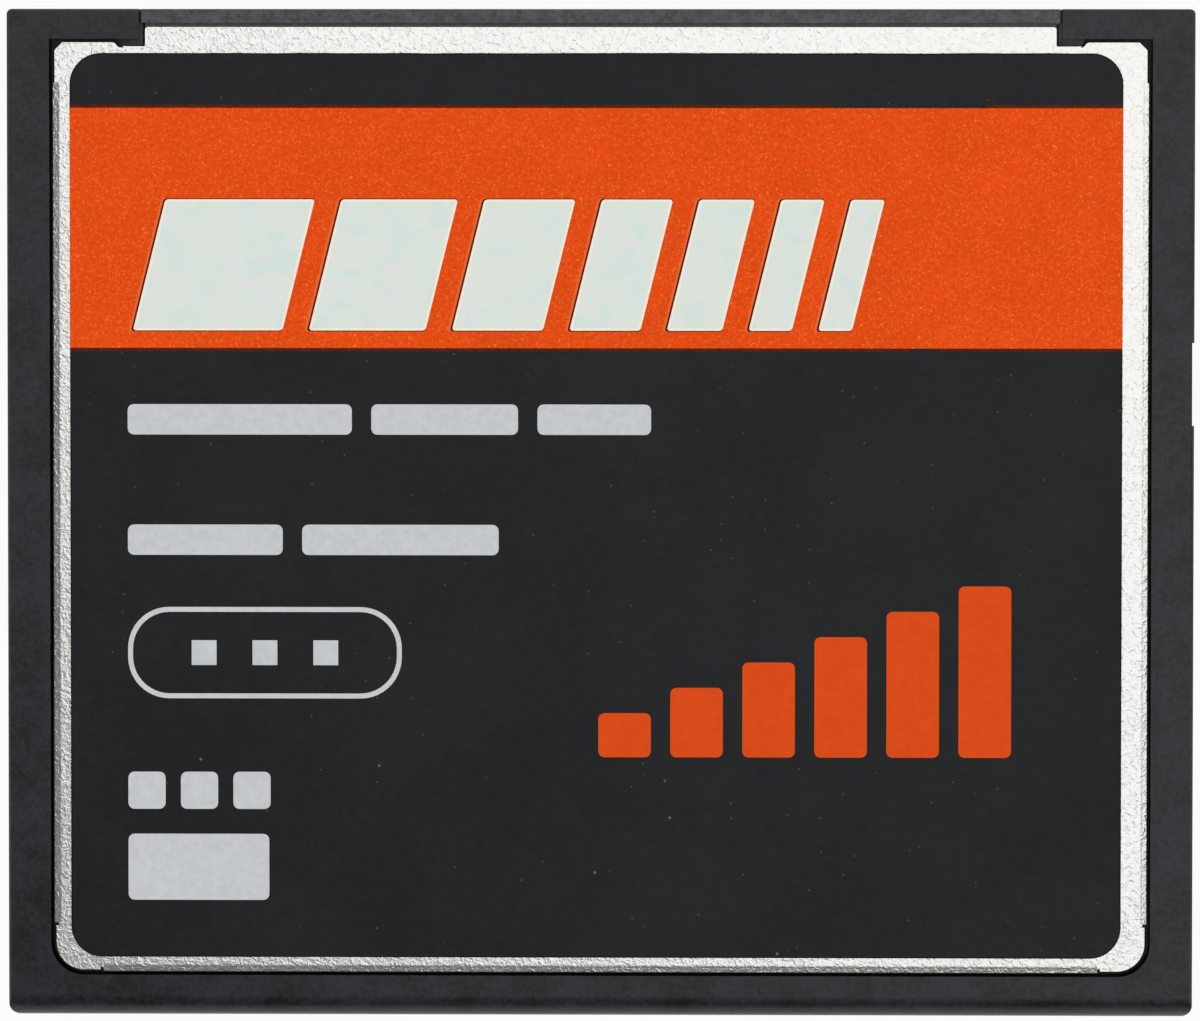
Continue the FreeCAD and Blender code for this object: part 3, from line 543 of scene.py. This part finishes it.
def pick(*pieces: Piece) -> None:
    """Selects only these pieces and makes the first one active."""
    deselect()
    for piece in pieces:
        piece.select_set(True)
    bpy.context.view_layer.objects.active = pieces[0]


def bake_place(piece: Piece) -> None:
    """Puts a piece's place and size into its mesh."""
    pick(piece)
    bpy.ops.object.transform_apply(location=True, rotation=True, scale=True)


def add_box(name: str, low: Vector, high: Vector) -> Piece:
    """Adds a box between two opposite corners.

    Args:
        name: The piece's name.
        low: The lowest corner.
        high: The highest corner.

    Returns:
        The new piece, with its place in its mesh.
    """
    deselect()
    bpy.ops.mesh.primitive_cube_add(size=1, location=(low + high) / 2)
    piece = bpy.context.object
    piece.name = name
    piece.data.name = name
    piece.scale = high - low
    bake_place(piece)
    return piece


def box_round(points: Sequence[Vector]) -> tuple[Vector, Vector]:
    """Gives the lowest and the highest corner of the box round some points."""
    low = Vector(min(point[axis] for point in points) for axis in range(3))
    high = Vector(max(point[axis] for point in points) for axis in range(3))
    return low, high


def merged_copy(node: str, name: str) -> Piece:
    """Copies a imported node, merges its points and joins its flat triangles.

    Args:
        node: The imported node.
        name: The copy's name.

    Returns:
        The copy.
    """
    deselect()
    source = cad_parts[node]
    piece = source.copy()
    piece.data = source.data.copy()
    piece.name = name
    piece.data.name = name
    for key in list(piece.keys()):
        if key.startswith("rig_"):
            del piece[key]
    piece.parent = None
    bpy.context.scene.collection.objects.link(piece)
    piece.data.materials.clear()
    pick(piece)
    bpy.ops.object.mode_set(mode="EDIT")
    bpy.ops.mesh.select_all(action="SELECT")
    bpy.ops.mesh.remove_doubles(threshold=SAME_POINT)
    bpy.ops.mesh.dissolve_limited(angle_limit=math.radians(0.5))
    bpy.ops.object.mode_set(mode="OBJECT")
    return piece


def solid_boxes(node: str) -> list[tuple[Vector, Vector]]:
    """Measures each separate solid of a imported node.

    Args:
        node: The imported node.

    Returns:
        The lowest and highest corner of each solid, from left to right.
    """
    mesh = bmesh.new()
    mesh.from_mesh(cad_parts[node].data)
    bmesh.ops.remove_doubles(mesh, verts=mesh.verts, dist=SAME_POINT)
    waiting = set(mesh.verts)
    boxes = []
    while waiting:
        island = []
        edge = [waiting.pop()]
        while edge:
            point = edge.pop()
            island.append(point.co.copy())
            for link in point.link_edges:
                after = link.other_vert(point)
                if after in waiting:
                    waiting.remove(after)
                    edge.append(after)
        boxes.append(box_round(island))
    mesh.free()
    return sorted(boxes, key=lambda box: (round(box[0].x, 6), round(box[0].y, 6)))


def choose(piece: Piece, kind: str, test: Test) -> int:
    """Enters edit mode and selects the points, edges or faces that pass a test.

    Args:
        piece: The piece to edit.
        kind: VERT, EDGE or FACE.
        test: Says whether one bmesh element is selected.

    Returns:
        How many were selected.
    """
    pick(piece)
    bpy.ops.object.mode_set(mode="EDIT")
    bpy.ops.mesh.select_mode(type=kind)
    bpy.ops.mesh.select_all(action="DESELECT")
    mesh = bmesh.from_edit_mesh(piece.data)
    elements = {"VERT": mesh.verts, "EDGE": mesh.edges, "FACE": mesh.faces}[kind]
    count = 0
    for element in elements:
        if test(element):
            element.select_set(True)
            count += 1
    mesh.select_flush_mode()
    bmesh.update_edit_mesh(piece.data)
    return count


def reshape(piece: Piece, kind: str, test: Test, operator: Callable[..., Any], **settings: Any) -> None:
    """Runs one operator on the elements that pass a test, if any does.

    Args:
        piece: The piece to edit.
        kind: VERT, EDGE or FACE.
        test: Says whether one bmesh element is taken.
        operator: The operator.
        settings: Its settings.
    """
    if choose(piece, kind, test):
        operator(**settings)
    bpy.ops.object.mode_set(mode="OBJECT")


def looks_up(face: bmesh.types.BMFace) -> bool:
    """Says whether a face looks up."""
    return face.normal.z > 0.9


def is_upright(edge: bmesh.types.BMEdge) -> bool:
    """Says whether an edge runs along Z."""
    run = edge.verts[1].co - edge.verts[0].co
    return abs(run.z) > 0.9 * run.length


def round_edges(piece: Piece, test: Test, radius: float, segments: int) -> None:
    """Rounds the edges of a piece that pass a test."""
    reshape(piece, "EDGE", test, bpy.ops.mesh.bevel, offset_type="OFFSET", offset=radius, segments=segments,
            affect="EDGES", clamp_overlap=True)


def round_top(piece: Piece, radius: float, segments: int = 2) -> None:
    """Rounds the edges round a piece's top face."""
    top = max(point.co.z for point in piece.data.vertices) - TOUCHING
    round_edges(piece, lambda edge: all(point.co.z > top for point in edge.verts)
                and any(abs(face.normal.z) < 0.5 for face in edge.link_faces), radius, segments)


def soften(piece: Piece, width: float, angle: float = 32.0) -> None:
    """Rounds every sharp edge of a piece a little.

    Args:
        piece: The piece.
        width: Width of the rounding.
        angle: Edges that turn by more than this many degrees are sharp.
    """
    pick(piece)
    bevel = piece.modifiers.new("edges", "BEVEL")
    bevel.width = width
    bevel.segments = 2
    bevel.limit_method = "ANGLE"
    bevel.angle_limit = math.radians(angle)
    bevel.use_clamp_overlap = True
    bpy.ops.object.modifier_apply(modifier=bevel.name)


def shade(piece: Piece, angle: float = 40.0) -> None:
    """Shades a piece smooth up to an angle, with flat faces kept flat."""
    pick(piece)
    bpy.ops.object.shade_smooth_by_angle(angle=math.radians(angle))
    even = piece.modifiers.new("even", "WEIGHTED_NORMAL")
    even.keep_sharp = True
    bpy.ops.object.modifier_apply(modifier=even.name)


def join(name: str, pieces: list[Piece]) -> Piece:
    """Joins pieces into one object with one mesh."""
    pick(*pieces)
    if len(pieces) > 1:
        bpy.ops.object.join()
    piece = bpy.context.object
    piece.name = name
    piece.data.name = name
    return piece


def combine(body: Piece, tool: Piece, operation: str) -> None:
    """Adds a tool to a body or takes it out, and deletes the tool."""
    pick(body)
    boolean = body.modifiers.new("combine", "BOOLEAN")
    boolean.operation = operation
    boolean.solver = "EXACT"
    boolean.object = tool
    bpy.ops.object.modifier_apply(modifier=boolean.name)
    bpy.data.objects.remove(tool, do_unlink=True)


def settle(piece: Piece, cloth: Cloth, *nodes: str) -> None:
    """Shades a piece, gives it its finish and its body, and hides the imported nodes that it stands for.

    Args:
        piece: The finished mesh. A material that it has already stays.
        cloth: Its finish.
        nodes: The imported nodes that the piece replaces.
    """
    shade(piece)
    if not any(piece.data.materials):
        cloth.value.dress(piece)
    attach(piece, BODY)
    if nodes:
        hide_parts(*nodes)
    LOG.info("piece %s: %d faces", piece.name, len(piece.data.polygons))


@dataclass
class Enclosure:
    """The frame moulding and the two folded covers."""

    frame_edge: float = 0.035 * MM
    cover_edge: float = 0.028 * MM
    fold_radius: float = 0.30 * MM
    fold_drop: float = 0.055 * MM
    fold_edge: float = 0.05 * MM
    sheet: float = 0.15 * MM
    relief_width: float = 0.10 * MM
    relief_overlap: float = 0.05 * MM
    relief_plug: float = 0.12 * MM
    filler_gap: float = 0.004 * MM
    hook_corner: float = 0.09 * MM
    hook_zone: Triple = (16.2 * MM, 17.8 * MM, 16.5 * MM)
    hook_setback: float = 0.3 * MM

    def build(self) -> None:
        """Makes softened copies of the three shells."""
        self.shell("frame", "frame_moulding", self.frame_edge, Cloth.FRAME, 0)
        self.shell("top_cover", "top_cover_sheet", self.cover_edge, Cloth.STEEL, 1)
        self.shell("bottom_cover", "bottom_cover_sheet", self.cover_edge, Cloth.STEEL, -1)

    def shell(self, node: str, name: str, edge: float, cloth: Cloth, up: int) -> None:
        """Copies one shell, rounds its corners at the hooks and all its edges, and dresses it.

        Args:
            node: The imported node.
            name: The copy's name.
            edge: Width of the rounding.
            cloth: Its finish.
            up: 1 for the top cover, -1 for the bottom cover and 0 for a shell without folds.
        """
        piece = merged_copy(node, name)
        inner, outer, rear = self.hook_zone
        front = FRONT_FACE - self.hook_setback
        round_edges(piece, lambda corner: is_upright(corner) and all(
            inner < abs(point.co.x) < outer and rear < point.co.y < front for point in corner.verts
        ), self.hook_corner, 3)
        if up:
            piece = self.tighten_folds(piece, up)
        soften(piece, edge)
        settle(piece, cloth, node)

    def tighten_folds(self, piece: Piece, up: int) -> Piece:
        """Fills a cover's round folds to a shallow slope with a tight edge, and shortens its relief nicks.

        Args:
            piece: The cover.
            up: 1 where its flat sheet is its highest face, -1 where it is its lowest.

        Returns:
            The cover with the fillers joined to it.
        """
        points = [point.co.copy() for point in piece.data.vertices]
        wide = max(point.x for point in points)
        rear = min(point.y for point in points)
        flat = max(point.z * up for point in points) * up
        along_side = [point.y for point in points if point.x > wide - NEAR]
        along_rear = [point.x for point in points if point.y < rear + NEAR]
        sides = (min(along_side) + self.filler_gap, max(along_side) - self.filler_gap)
        rears = (min(along_rear) + self.filler_gap, max(along_rear) - self.filler_gap)
        fillers = [
            self.filler(Vector((wide, 0, flat)), Vector((1, 0, 0)), sides, up),
            self.filler(Vector((-wide, 0, flat)), Vector((-1, 0, 0)), sides, up),
            self.filler(Vector((0, rear, flat)), Vector((0, -1, 0)), rears, up),
        ]
        inner, outer = self.fold_radius + self.relief_overlap, self.fold_radius - self.relief_plug
        behind, before = sides[0] - self.relief_width - NEAR, sides[0] + NEAR
        near_end, far_end = rears[1] - NEAR, rears[1] + self.relief_width + NEAR
        for side in (-1, 1):
            fillers += [
                self.plug(Vector((side * (wide - inner), behind, flat)),
                          Vector((side * (wide - outer), before, flat)), up),
                self.plug(Vector((side * near_end, rear + outer, flat)),
                          Vector((side * far_end, rear + inner, flat)), up),
            ]
        return join(piece.name, [piece] + fillers)

    def filler(self, edge: Vector, outward: Vector, run: tuple[float, float], up: int) -> Piece:
        """Makes the bar that fills a round fold out to a slope and a tight edge.

        Args:
            edge: A point on the fold's outer edge, at the height of the flat sheet.
            outward: The direction away from the cover.
            run: Where the fold starts and ends along its own length.
            up: 1 for the top cover, -1 for the bottom cover.

        Returns:
            The bar.
        """
        along = Vector((abs(outward.y), abs(outward.x), 0))
        inner = edge - outward * self.fold_radius
        deep = Vector((0, 0, up * self.fold_radius))
        bar = add_box("filler", *box_round([inner + along * run[0] - deep, edge + along * run[1]]))

        def beside(point: bmesh.types.BMVert, line: Vector) -> bool:
            """Says whether a point lies at a line's distance from the middle of the cover."""
            return abs((point.co - line).dot(outward)) < TOUCHING

        def depth(point: bmesh.types.BMVert) -> float:
            """The distance of a point from the level of the flat sheet."""
            return abs(point.co.z - edge.z)

        reshape(bar, "VERT", lambda point: beside(point, edge) and depth(point) < TOUCHING,
                bpy.ops.transform.translate, value=(0, 0, -up * self.fold_drop))
        reshape(bar, "VERT", lambda point: beside(point, inner) and depth(point) > TOUCHING,
                bpy.ops.transform.translate, value=(0, 0, up * (self.fold_radius - self.fold_drop)))
        round_edges(bar, lambda side: all(
            beside(point, edge) and abs(depth(point) - self.fold_drop) < TOUCHING for point in side.verts
        ), self.fold_edge, 3)
        return bar

    def plug(self, first: Vector, second: Vector, up: int) -> Piece:
        """Makes a block of sheet that fills the inner end of a relief nick."""
        skin = Vector((0, 0, up * self.filler_gap))
        return add_box("plug", *box_round([first - skin, second + skin - Vector((0, 0, up * self.sheet))]))


@dataclass
class SocketBlock:
    """The connector housing with its sockets."""

    shoulder_front: float = 16.81 * MM
    shoulder_chamfer: float = 0.30 * MM
    nose_half: float = 16.41 * MM
    lip_half: float = 16.54 * MM
    lip_depth: float = 0.50 * MM
    lip_edge: float = 0.10 * MM
    inner_low: float = 0.21 * MM
    inner_high: float = 2.99 * MM
    bore: float = 0.60 * MM
    bore_depth: float = 1.20 * MM
    flare: float = 0.95 * MM
    flare_depth: float = 0.30 * MM
    cavity_side_gap: float = 0.05 * MM
    cavity_end_gap: float = 0.02 * MM
    sides: int = 20
    edge: float = 0.025 * MM
    proud: float = 0.20 * MM
    proud_spread: float = 0.24 * MM

    def blank(self, low: Vector, high: Vector) -> Piece:
        """Makes the housing without sockets: shoulders, a nose and the lip that shows between the hooks.

        Args:
            low: Lowest corner of the housing.
            high: Highest corner of the housing.

        Returns:
            The plain housing.
        """
        front = high.y
        body = add_box(
            "connector_block", Vector((low.x, low.y, self.inner_low)),
            Vector((high.x, self.shoulder_front, self.inner_high)),
        )
        for x in (-self.nose_half, self.nose_half):
            reshape(body, "FACE", lambda face: True,
                    bpy.ops.mesh.bisect, plane_co=(x, 0, 0), plane_no=(1, 0, 0))
        run = front - self.shoulder_front - self.lip_depth / 2
        reshape(body, "FACE", lambda face: face.normal.y > 0.9
                and abs(face.calc_center_median().x) < self.nose_half,
                bpy.ops.mesh.extrude_region_move, TRANSFORM_OT_translate={"value": (0, run, 0)})
        side, shoulder = high.x - NEAR, self.shoulder_front - NEAR
        round_edges(body, lambda edge: is_upright(edge) and all(
            abs(point.co.x) > side and point.co.y > shoulder for point in edge.verts
        ), self.shoulder_chamfer, 1)
        lip = add_box(
            "lip", Vector((-self.lip_half, front - self.lip_depth, low.z)),
            Vector((self.lip_half, front, high.z)),
        )
        round_edges(lip, lambda edge: all(point.co.y > front - NEAR for point in edge.verts)
                    and not is_upright(edge), self.lip_edge, 3)
        combine(body, lip, "UNION")
        return body

    def socket_cutter(self, low: Vector, high: Vector, front: float) -> Piece:
        """Makes the cutter of one socket: a flare and a bore.

        Args:
            low: Lowest corner of the contact.
            high: Highest corner of the contact.
            front: The y of the housing's front face.

        Returns:
            The cutter.
        """
        middle = (low + high) / 2
        mouth = self.flare + self.proud_spread
        deselect()
        bpy.ops.mesh.primitive_circle_add(
            vertices=self.sides, radius=mouth / 2, fill_type="NGON",
            location=(middle.x, front + self.proud, middle.z), rotation=(math.pi / 2, 0, 0),
        )
        cutter = bpy.context.object
        bake_place(cutter)
        bpy.ops.object.mode_set(mode="EDIT")
        bpy.ops.mesh.select_all(action="SELECT")
        steps = (
            (self.proud, self.flare / mouth),
            (self.flare_depth, self.bore / self.flare),
            (self.bore_depth - self.flare_depth + self.cavity_end_gap, 1.0),
        )
        for run, share in steps:
            bpy.ops.mesh.extrude_region_move(TRANSFORM_OT_translate={"value": (0, -run, 0)})
            bpy.ops.transform.resize(value=(share, 1, share))
        bpy.ops.mesh.select_all(action="SELECT")
        bpy.ops.mesh.normals_make_consistent(inside=False)
        bpy.ops.object.mode_set(mode="OBJECT")
        return cutter

    def build(self) -> None:
        """Cuts round sockets and square cavities into the plain housing."""
        low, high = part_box("connector_housing")
        front = high.y
        contacts = solid_boxes("upper_contacts") + solid_boxes("lower_contacts")
        body = self.blank(low, high)
        combine(body, join("bores", [self.socket_cutter(*box, front) for box in contacts]), "DIFFERENCE")
        gap = Vector((self.cavity_side_gap, 0, self.cavity_end_gap))
        cavities = []
        for contact_low, contact_high in contacts:
            start = Vector((contact_low.x, low.y - self.proud, contact_low.z)) - gap
            end = Vector((contact_high.x, front - self.bore_depth, contact_high.z)) + gap
            cavities.append(add_box("cavity", start, end))
        combine(body, join("cavities", cavities), "DIFFERENCE")
        soften(body, self.edge, 50.0)
        settle(body, Cloth.HOUSING, "connector_housing")


@dataclass
class Electronics:
    """The contacts, the board and the chips inside the card."""

    finishes: tuple[tuple[Cloth, tuple[str, ...]], ...] = (
        (Cloth.GOLD, ("upper_contacts", "lower_contacts")),
        (Cloth.BOARD, ("circuit_board",)),
        (Cloth.RESIN, ("controller_package", "upper_flash_package", "lower_flash_package",
                       "regulator_package")),
        (Cloth.TIN, ("controller_leads", "upper_flash_leads", "lower_flash_leads", "regulator_leads",
                     "capacitor_ends", "resistor_ends")),
        (Cloth.CAPACITOR, ("capacitor_bodies",)),
        (Cloth.RESISTOR, ("resistor_bodies",)),
    )

    def build(self) -> None:
        """Dresses each hidden piece."""
        for cloth, nodes in self.finishes:
            for node in nodes:
                cloth.value.dress(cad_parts[node])
                LOG.info("node %s: %s", node, cloth.value.name)


@dataclass
class Label:
    """The printed label: film, band, raised bars and flat print."""

    corner: float = 1.12 * MM
    film_edge: float = 0.03 * MM
    film_border: float = 0.045 * MM
    front_cuts: int = 44
    front_wave: float = 0.022 * MM
    wave_seed: int = 7
    ink_edge: float = 0.008 * MM
    print_corner: float = 0.22 * MM
    bar_slant: float = math.radians(14.0)
    bar_corner: float = 0.12 * MM
    bar_rim: float = 0.085 * MM
    bar_edge: float = 0.02 * MM
    shadow_width: float = 0.035 * MM
    gap_shift: float = 0.045 * MM
    shadow_height: float = 0.008 * MM
    swell_width: float = 0.045 * MM
    swell_shift: float = 0.125 * MM
    swell_height: float = 0.004 * MM
    band_gap: float = 0.12 * MM
    band_gap_drop: float = 0.012 * MM

    def build(self) -> None:
        """Makes the label's pieces from the film up."""
        self.film()
        self.band()
        self.bars()
        for node, name, cloth in (
            ("print_lines", "grey_line_print", Cloth.GREY),
            ("grey_panel", "grey_panel_print", Cloth.GREY),
            ("capacity_bars", "capacity_print", Cloth.ORANGE),
        ):
            self.print_shapes(node, name, cloth)
        self.badge()

    def film(self) -> None:
        """The dark film, with rounded corners and a front edge that isn't quite straight."""
        low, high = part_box("label_sheet")
        piece = add_box("label_film", low, high)
        front = high.y - NEAR
        round_edges(piece, is_upright, self.corner, 10)
        choose(piece, "EDGE", lambda edge: all(point.co.y > front for point in edge.verts)
               and not is_upright(edge))
        bpy.ops.mesh.subdivide(number_cuts=self.front_cuts)
        bpy.ops.transform.vertex_random(offset=self.front_wave, seed=self.wave_seed, normal=0.0)
        bpy.ops.object.mode_set(mode="OBJECT")
        reshape(piece, "FACE", looks_up, bpy.ops.mesh.inset, thickness=self.film_border, depth=0.0)
        # The film's border and sides take the painted shadow of its thickness.
        self.two_tone(piece, Cloth.FILM.value, FILM_BORDER_SHADOW)
        round_top(piece, self.film_edge)
        settle(piece, Cloth.FILM, "label_sheet")

    def two_tone(self, piece: Piece, inner: Finish, outer: Finish) -> None:
        """Gives the largest top face one finish and every other face another."""
        piece.data.materials.append(inner.material())
        piece.data.materials.append(outer.material())
        core = max(piece.data.polygons, key=lambda face: face.area * face.normal.z).index
        for face in piece.data.polygons:
            face.material_index = 0 if face.index == core else 1

    def band(self) -> None:
        """The orange field across the label, on a dark line that shows along its front and rear edges."""
        low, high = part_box("label_band")
        piece = add_box("label_band_print", low, high)
        round_top(piece, self.ink_edge, 1)
        settle(piece, Cloth.BAND, "label_band")
        spread = Vector((0, self.band_gap, 0))
        line = add_box("band_edge_line", low - spread, high + spread - Vector((0, 0, self.band_gap_drop)))
        round_top(line, self.ink_edge / 2, 1)
        line.data.materials.append(EDGE_INK_AND_SHADOW.material())
        settle(line, Cloth.BAND)

    def slanted(self, name: str, low: Vector, high: Vector) -> Piece:
        """Makes one slanted bar with rounded corners inside a box.

        Args:
            name: The piece's name.
            low: Lowest corner of the space that the bar fills.
            high: Highest corner of that space.

        Returns:
            The bar.
        """
        lean = (high.y - low.y) * math.tan(self.bar_slant)
        piece = add_box(name, low, Vector((high.x - lean, high.y, high.z)))
        middle = (low.y + high.y) / 2
        reshape(piece, "VERT", lambda point: point.co.y > middle,
                bpy.ops.transform.translate, value=(lean, 0, 0))
        round_edges(piece, is_upright, self.bar_corner, 5)
        return piece

    def bars(self) -> None:
        """The thick white bars with a cream rim, each over a painted shadow and a swelling of the orange print
        with a painted highlight.
        """
        whites = []
        shadows = []
        swellings = []
        for low, high in solid_boxes("raised_bars"):
            bar = self.slanted("bar", low, high)
            reshape(bar, "FACE", looks_up, bpy.ops.mesh.inset, thickness=self.bar_rim, depth=0.0)
            self.two_tone(bar, Cloth.WHITE.value, RIM)
            round_top(bar, self.bar_edge, 3)
            whites.append(bar)
            # The dark layer under each bar, shifted left, is a painted shadow.
            shadows.append(self.under(low, high, self.shadow_width, self.gap_shift, self.shadow_height))
            # The swelling is real; its brighter orange is a painted highlight.
            swellings.append(self.under(low, high, self.swell_width, self.swell_shift, self.swell_height))
        white = join("raised_bar_print", whites)
        settle(white, Cloth.WHITE, "raised_bars")
        for name, pieces, finish in (("bar_painted_shadow", shadows, EDGE_INK_AND_SHADOW), ("bar_swelling_highlight", swellings, SWELL_HIGHLIGHT)):
            piece = join(name, pieces)
            piece.data.materials.append(finish.material())
            settle(piece, Cloth.BAND)

    def under(self, low: Vector, high: Vector, width: float, shift: float, height: float) -> Piece:
        """Makes the layer that shows round one raised bar.

        Args:
            low: Lowest corner of the bar.
            high: Highest corner of the bar.
            width: How far the layer reaches past the bar on every side.
            shift: How much further it lies to the left.
            height: Its height over the band.

        Returns:
            The layer.
        """
        spread = Vector((width, width, 0))
        start = low - spread - Vector((shift, 0, 0))
        end = Vector((high.x, high.y, low.z + height)) + spread - Vector((shift * 0.5, 0, 0))
        layer = self.slanted("layer", start, end)
        round_top(layer, height / 2, 1)
        return layer

    def print_shapes(self, node: str, name: str, cloth: Cloth) -> None:
        """Makes one rounded flat shape for each solid of a printed node."""
        shapes = []
        for low, high in solid_boxes(node):
            shape = add_box(name, low, high)
            round_edges(shape, is_upright, self.print_corner, 4)
            round_top(shape, self.ink_edge, 1)
            shapes.append(shape)
        piece = join(name, shapes)
        settle(piece, cloth, node)

    def badge(self) -> None:
        """The capsule outline with its row of small squares."""
        piece = merged_copy("badge_ring", "badge_print")
        round_top(piece, self.ink_edge, 1)
        settle(piece, Cloth.GREY, "badge_ring")


@dataclass(frozen=True)
class Panel:
    """A square glowing panel of the studio that the camera doesn't see, with its turn in degrees.

    The tone is what mirrors see of it, and the bounce is what matt surfaces take from it.
    """

    name: str
    size: float
    place: Triple
    turn: Triple
    tone: float
    bounce: float


@dataclass
class Studio:
    """The floor, the panels, the sky and the camera.

    The grey ceiling keeps the card's top from mirroring a white sky. The two dark flags stand beside it, for
    the folded edges to mirror, and the key is a softbox over its upper right.
    """

    floor_size: float = 3.0
    floor_white: Colour = (0.93, 0.93, 0.93, 1.0)
    floor_glow: float = 0.92
    bounce_glow: float = 0.25
    floor_drop: float = 0.004 * MM
    panels: tuple[Panel, ...] = (
        Panel("studio_ceiling", 2.4, (0.0, 0.0, 1.1), (0.0, 0.0, 0.0), 0.17, 0.85),
        Panel("studio_flag_left", 0.36, (-0.40, 0.0, 0.24), (90.0, 0.0, 270.0), 0.08, 0.85),
        Panel("studio_flag_rear", 0.36, (0.0, -0.40, 0.34), (90.0, 0.0, 0.0), 0.08, 0.85),
        Panel("studio_key", 0.17, (0.038, 0.038, 0.13), (0.0, 0.0, 45.0), 1.15, 0.90),
    )
    sky_tone: float = 1.0
    lens: float = 250.0
    sensor: float = 36.0
    camera_place: Triple = (5.39 * MM, 14.04 * MM, 303.55 * MM)
    camera_turn: Triple = (-2.65, 1.03, 0.03)
    clip_near: float = 0.01
    clip_far: float = 20.0

    def build(self) -> None:
        """Makes the studio."""
        bpy.context.scene.view_settings.view_transform = "Standard"
        self.floor()
        for panel in self.panels:
            self.hang(panel)
        self.sky()
        self.camera()

    def seen(self, graph: Graph) -> Wire:
        """Gives 1 for rays from the camera, mirror rays and rays through glass."""
        path = graph.node("ShaderNodeLightPath", output="Is Camera Ray")
        total = path + path.also("Is Glossy Ray") + path.also("Is Transmission Ray")
        return graph.node("ShaderNodeMath", {"operation": "MINIMUM"}, {0: total, 1: 1.0})

    def sheet(self, name: str, size: float, place: Triple, turn: Triple = (0.0, 0.0, 0.0)) -> Piece:
        """Adds a square sheet that isn't part of the card.

        Args:
            name: The sheet's name.
            size: Length of its sides.
            place: Its middle.
            turn: Its turn about each axis, in degrees.

        Returns:
            The sheet, with its place in its mesh.
        """
        deselect()
        angles = tuple(math.radians(angle) for angle in turn)
        bpy.ops.mesh.primitive_plane_add(size=size, location=place, rotation=angles)
        piece = bpy.context.object
        piece.name = name
        bake_place(piece)
        return piece

    def floor(self) -> None:
        """A white floor that glows towards the camera but still takes the card's shadow."""
        piece = self.sheet("studio_floor", self.floor_size, (0, 0, -self.floor_drop))
        material = bpy.data.materials.new("studio_floor")
        graph = Graph(material)
        matte = graph.node("ShaderNodeBsdfDiffuse", None, {"Color": self.floor_white})
        glow = graph.node("ShaderNodeEmission", None, {"Color": PURE_WHITE, "Strength": 1.0})
        seen = self.seen(graph)
        share = seen * (self.floor_glow - self.bounce_glow) + self.bounce_glow
        mixed = graph.node("ShaderNodeMixShader", None, {0: share, 1: matte, 2: glow})
        clear = graph.node("ShaderNodeBsdfTransparent")
        below = graph.node("ShaderNodeNewGeometry", output="Backfacing")
        graph.finish(graph.node("ShaderNodeMixShader", None, {0: below, 1: mixed, 2: clear}))
        piece.data.materials.append(material)

    def hang(self, panel: Panel) -> None:
        """Adds a panel that glows with its own tone and bounce."""
        piece = self.sheet(panel.name, panel.size, panel.place, panel.turn)
        material = bpy.data.materials.new(panel.name)
        graph = Graph(material)
        strength = self.seen(graph) * (panel.tone - panel.bounce) + panel.bounce
        graph.finish(graph.node("ShaderNodeEmission", None, {"Color": PURE_WHITE, "Strength": strength}))
        piece.data.materials.append(material)
        piece.visible_camera = False

    def sky(self) -> None:
        """A plain white world."""
        world = bpy.data.worlds.new("studio_sky")
        bpy.context.scene.world = world
        graph = Graph(world)
        sky = {"Color": PURE_WHITE, "Strength": self.sky_tone}
        graph.finish(graph.node("ShaderNodeBackground", None, sky))

    def camera(self) -> None:
        """The photograph's view, from almost straight above."""
        data = bpy.data.cameras.new("camera")
        data.lens = self.lens
        data.sensor_width = self.sensor
        data.clip_start = self.clip_near
        data.clip_end = self.clip_far
        camera = bpy.data.objects.new("camera", data)
        camera.location = self.camera_place
        camera.rotation_euler = tuple(math.radians(turn) for turn in self.camera_turn)
        bpy.context.scene.collection.objects.link(camera)
        bpy.context.scene.camera = camera


def main() -> None:
    """Builds the studio and the card."""
    logging.basicConfig(level=logging.INFO, format="%(message)s")
    Studio().build()
    Enclosure().build()
    SocketBlock().build()
    Electronics().build()
    Label().build()
    deselect()


if __name__ == "__main__":
    main()
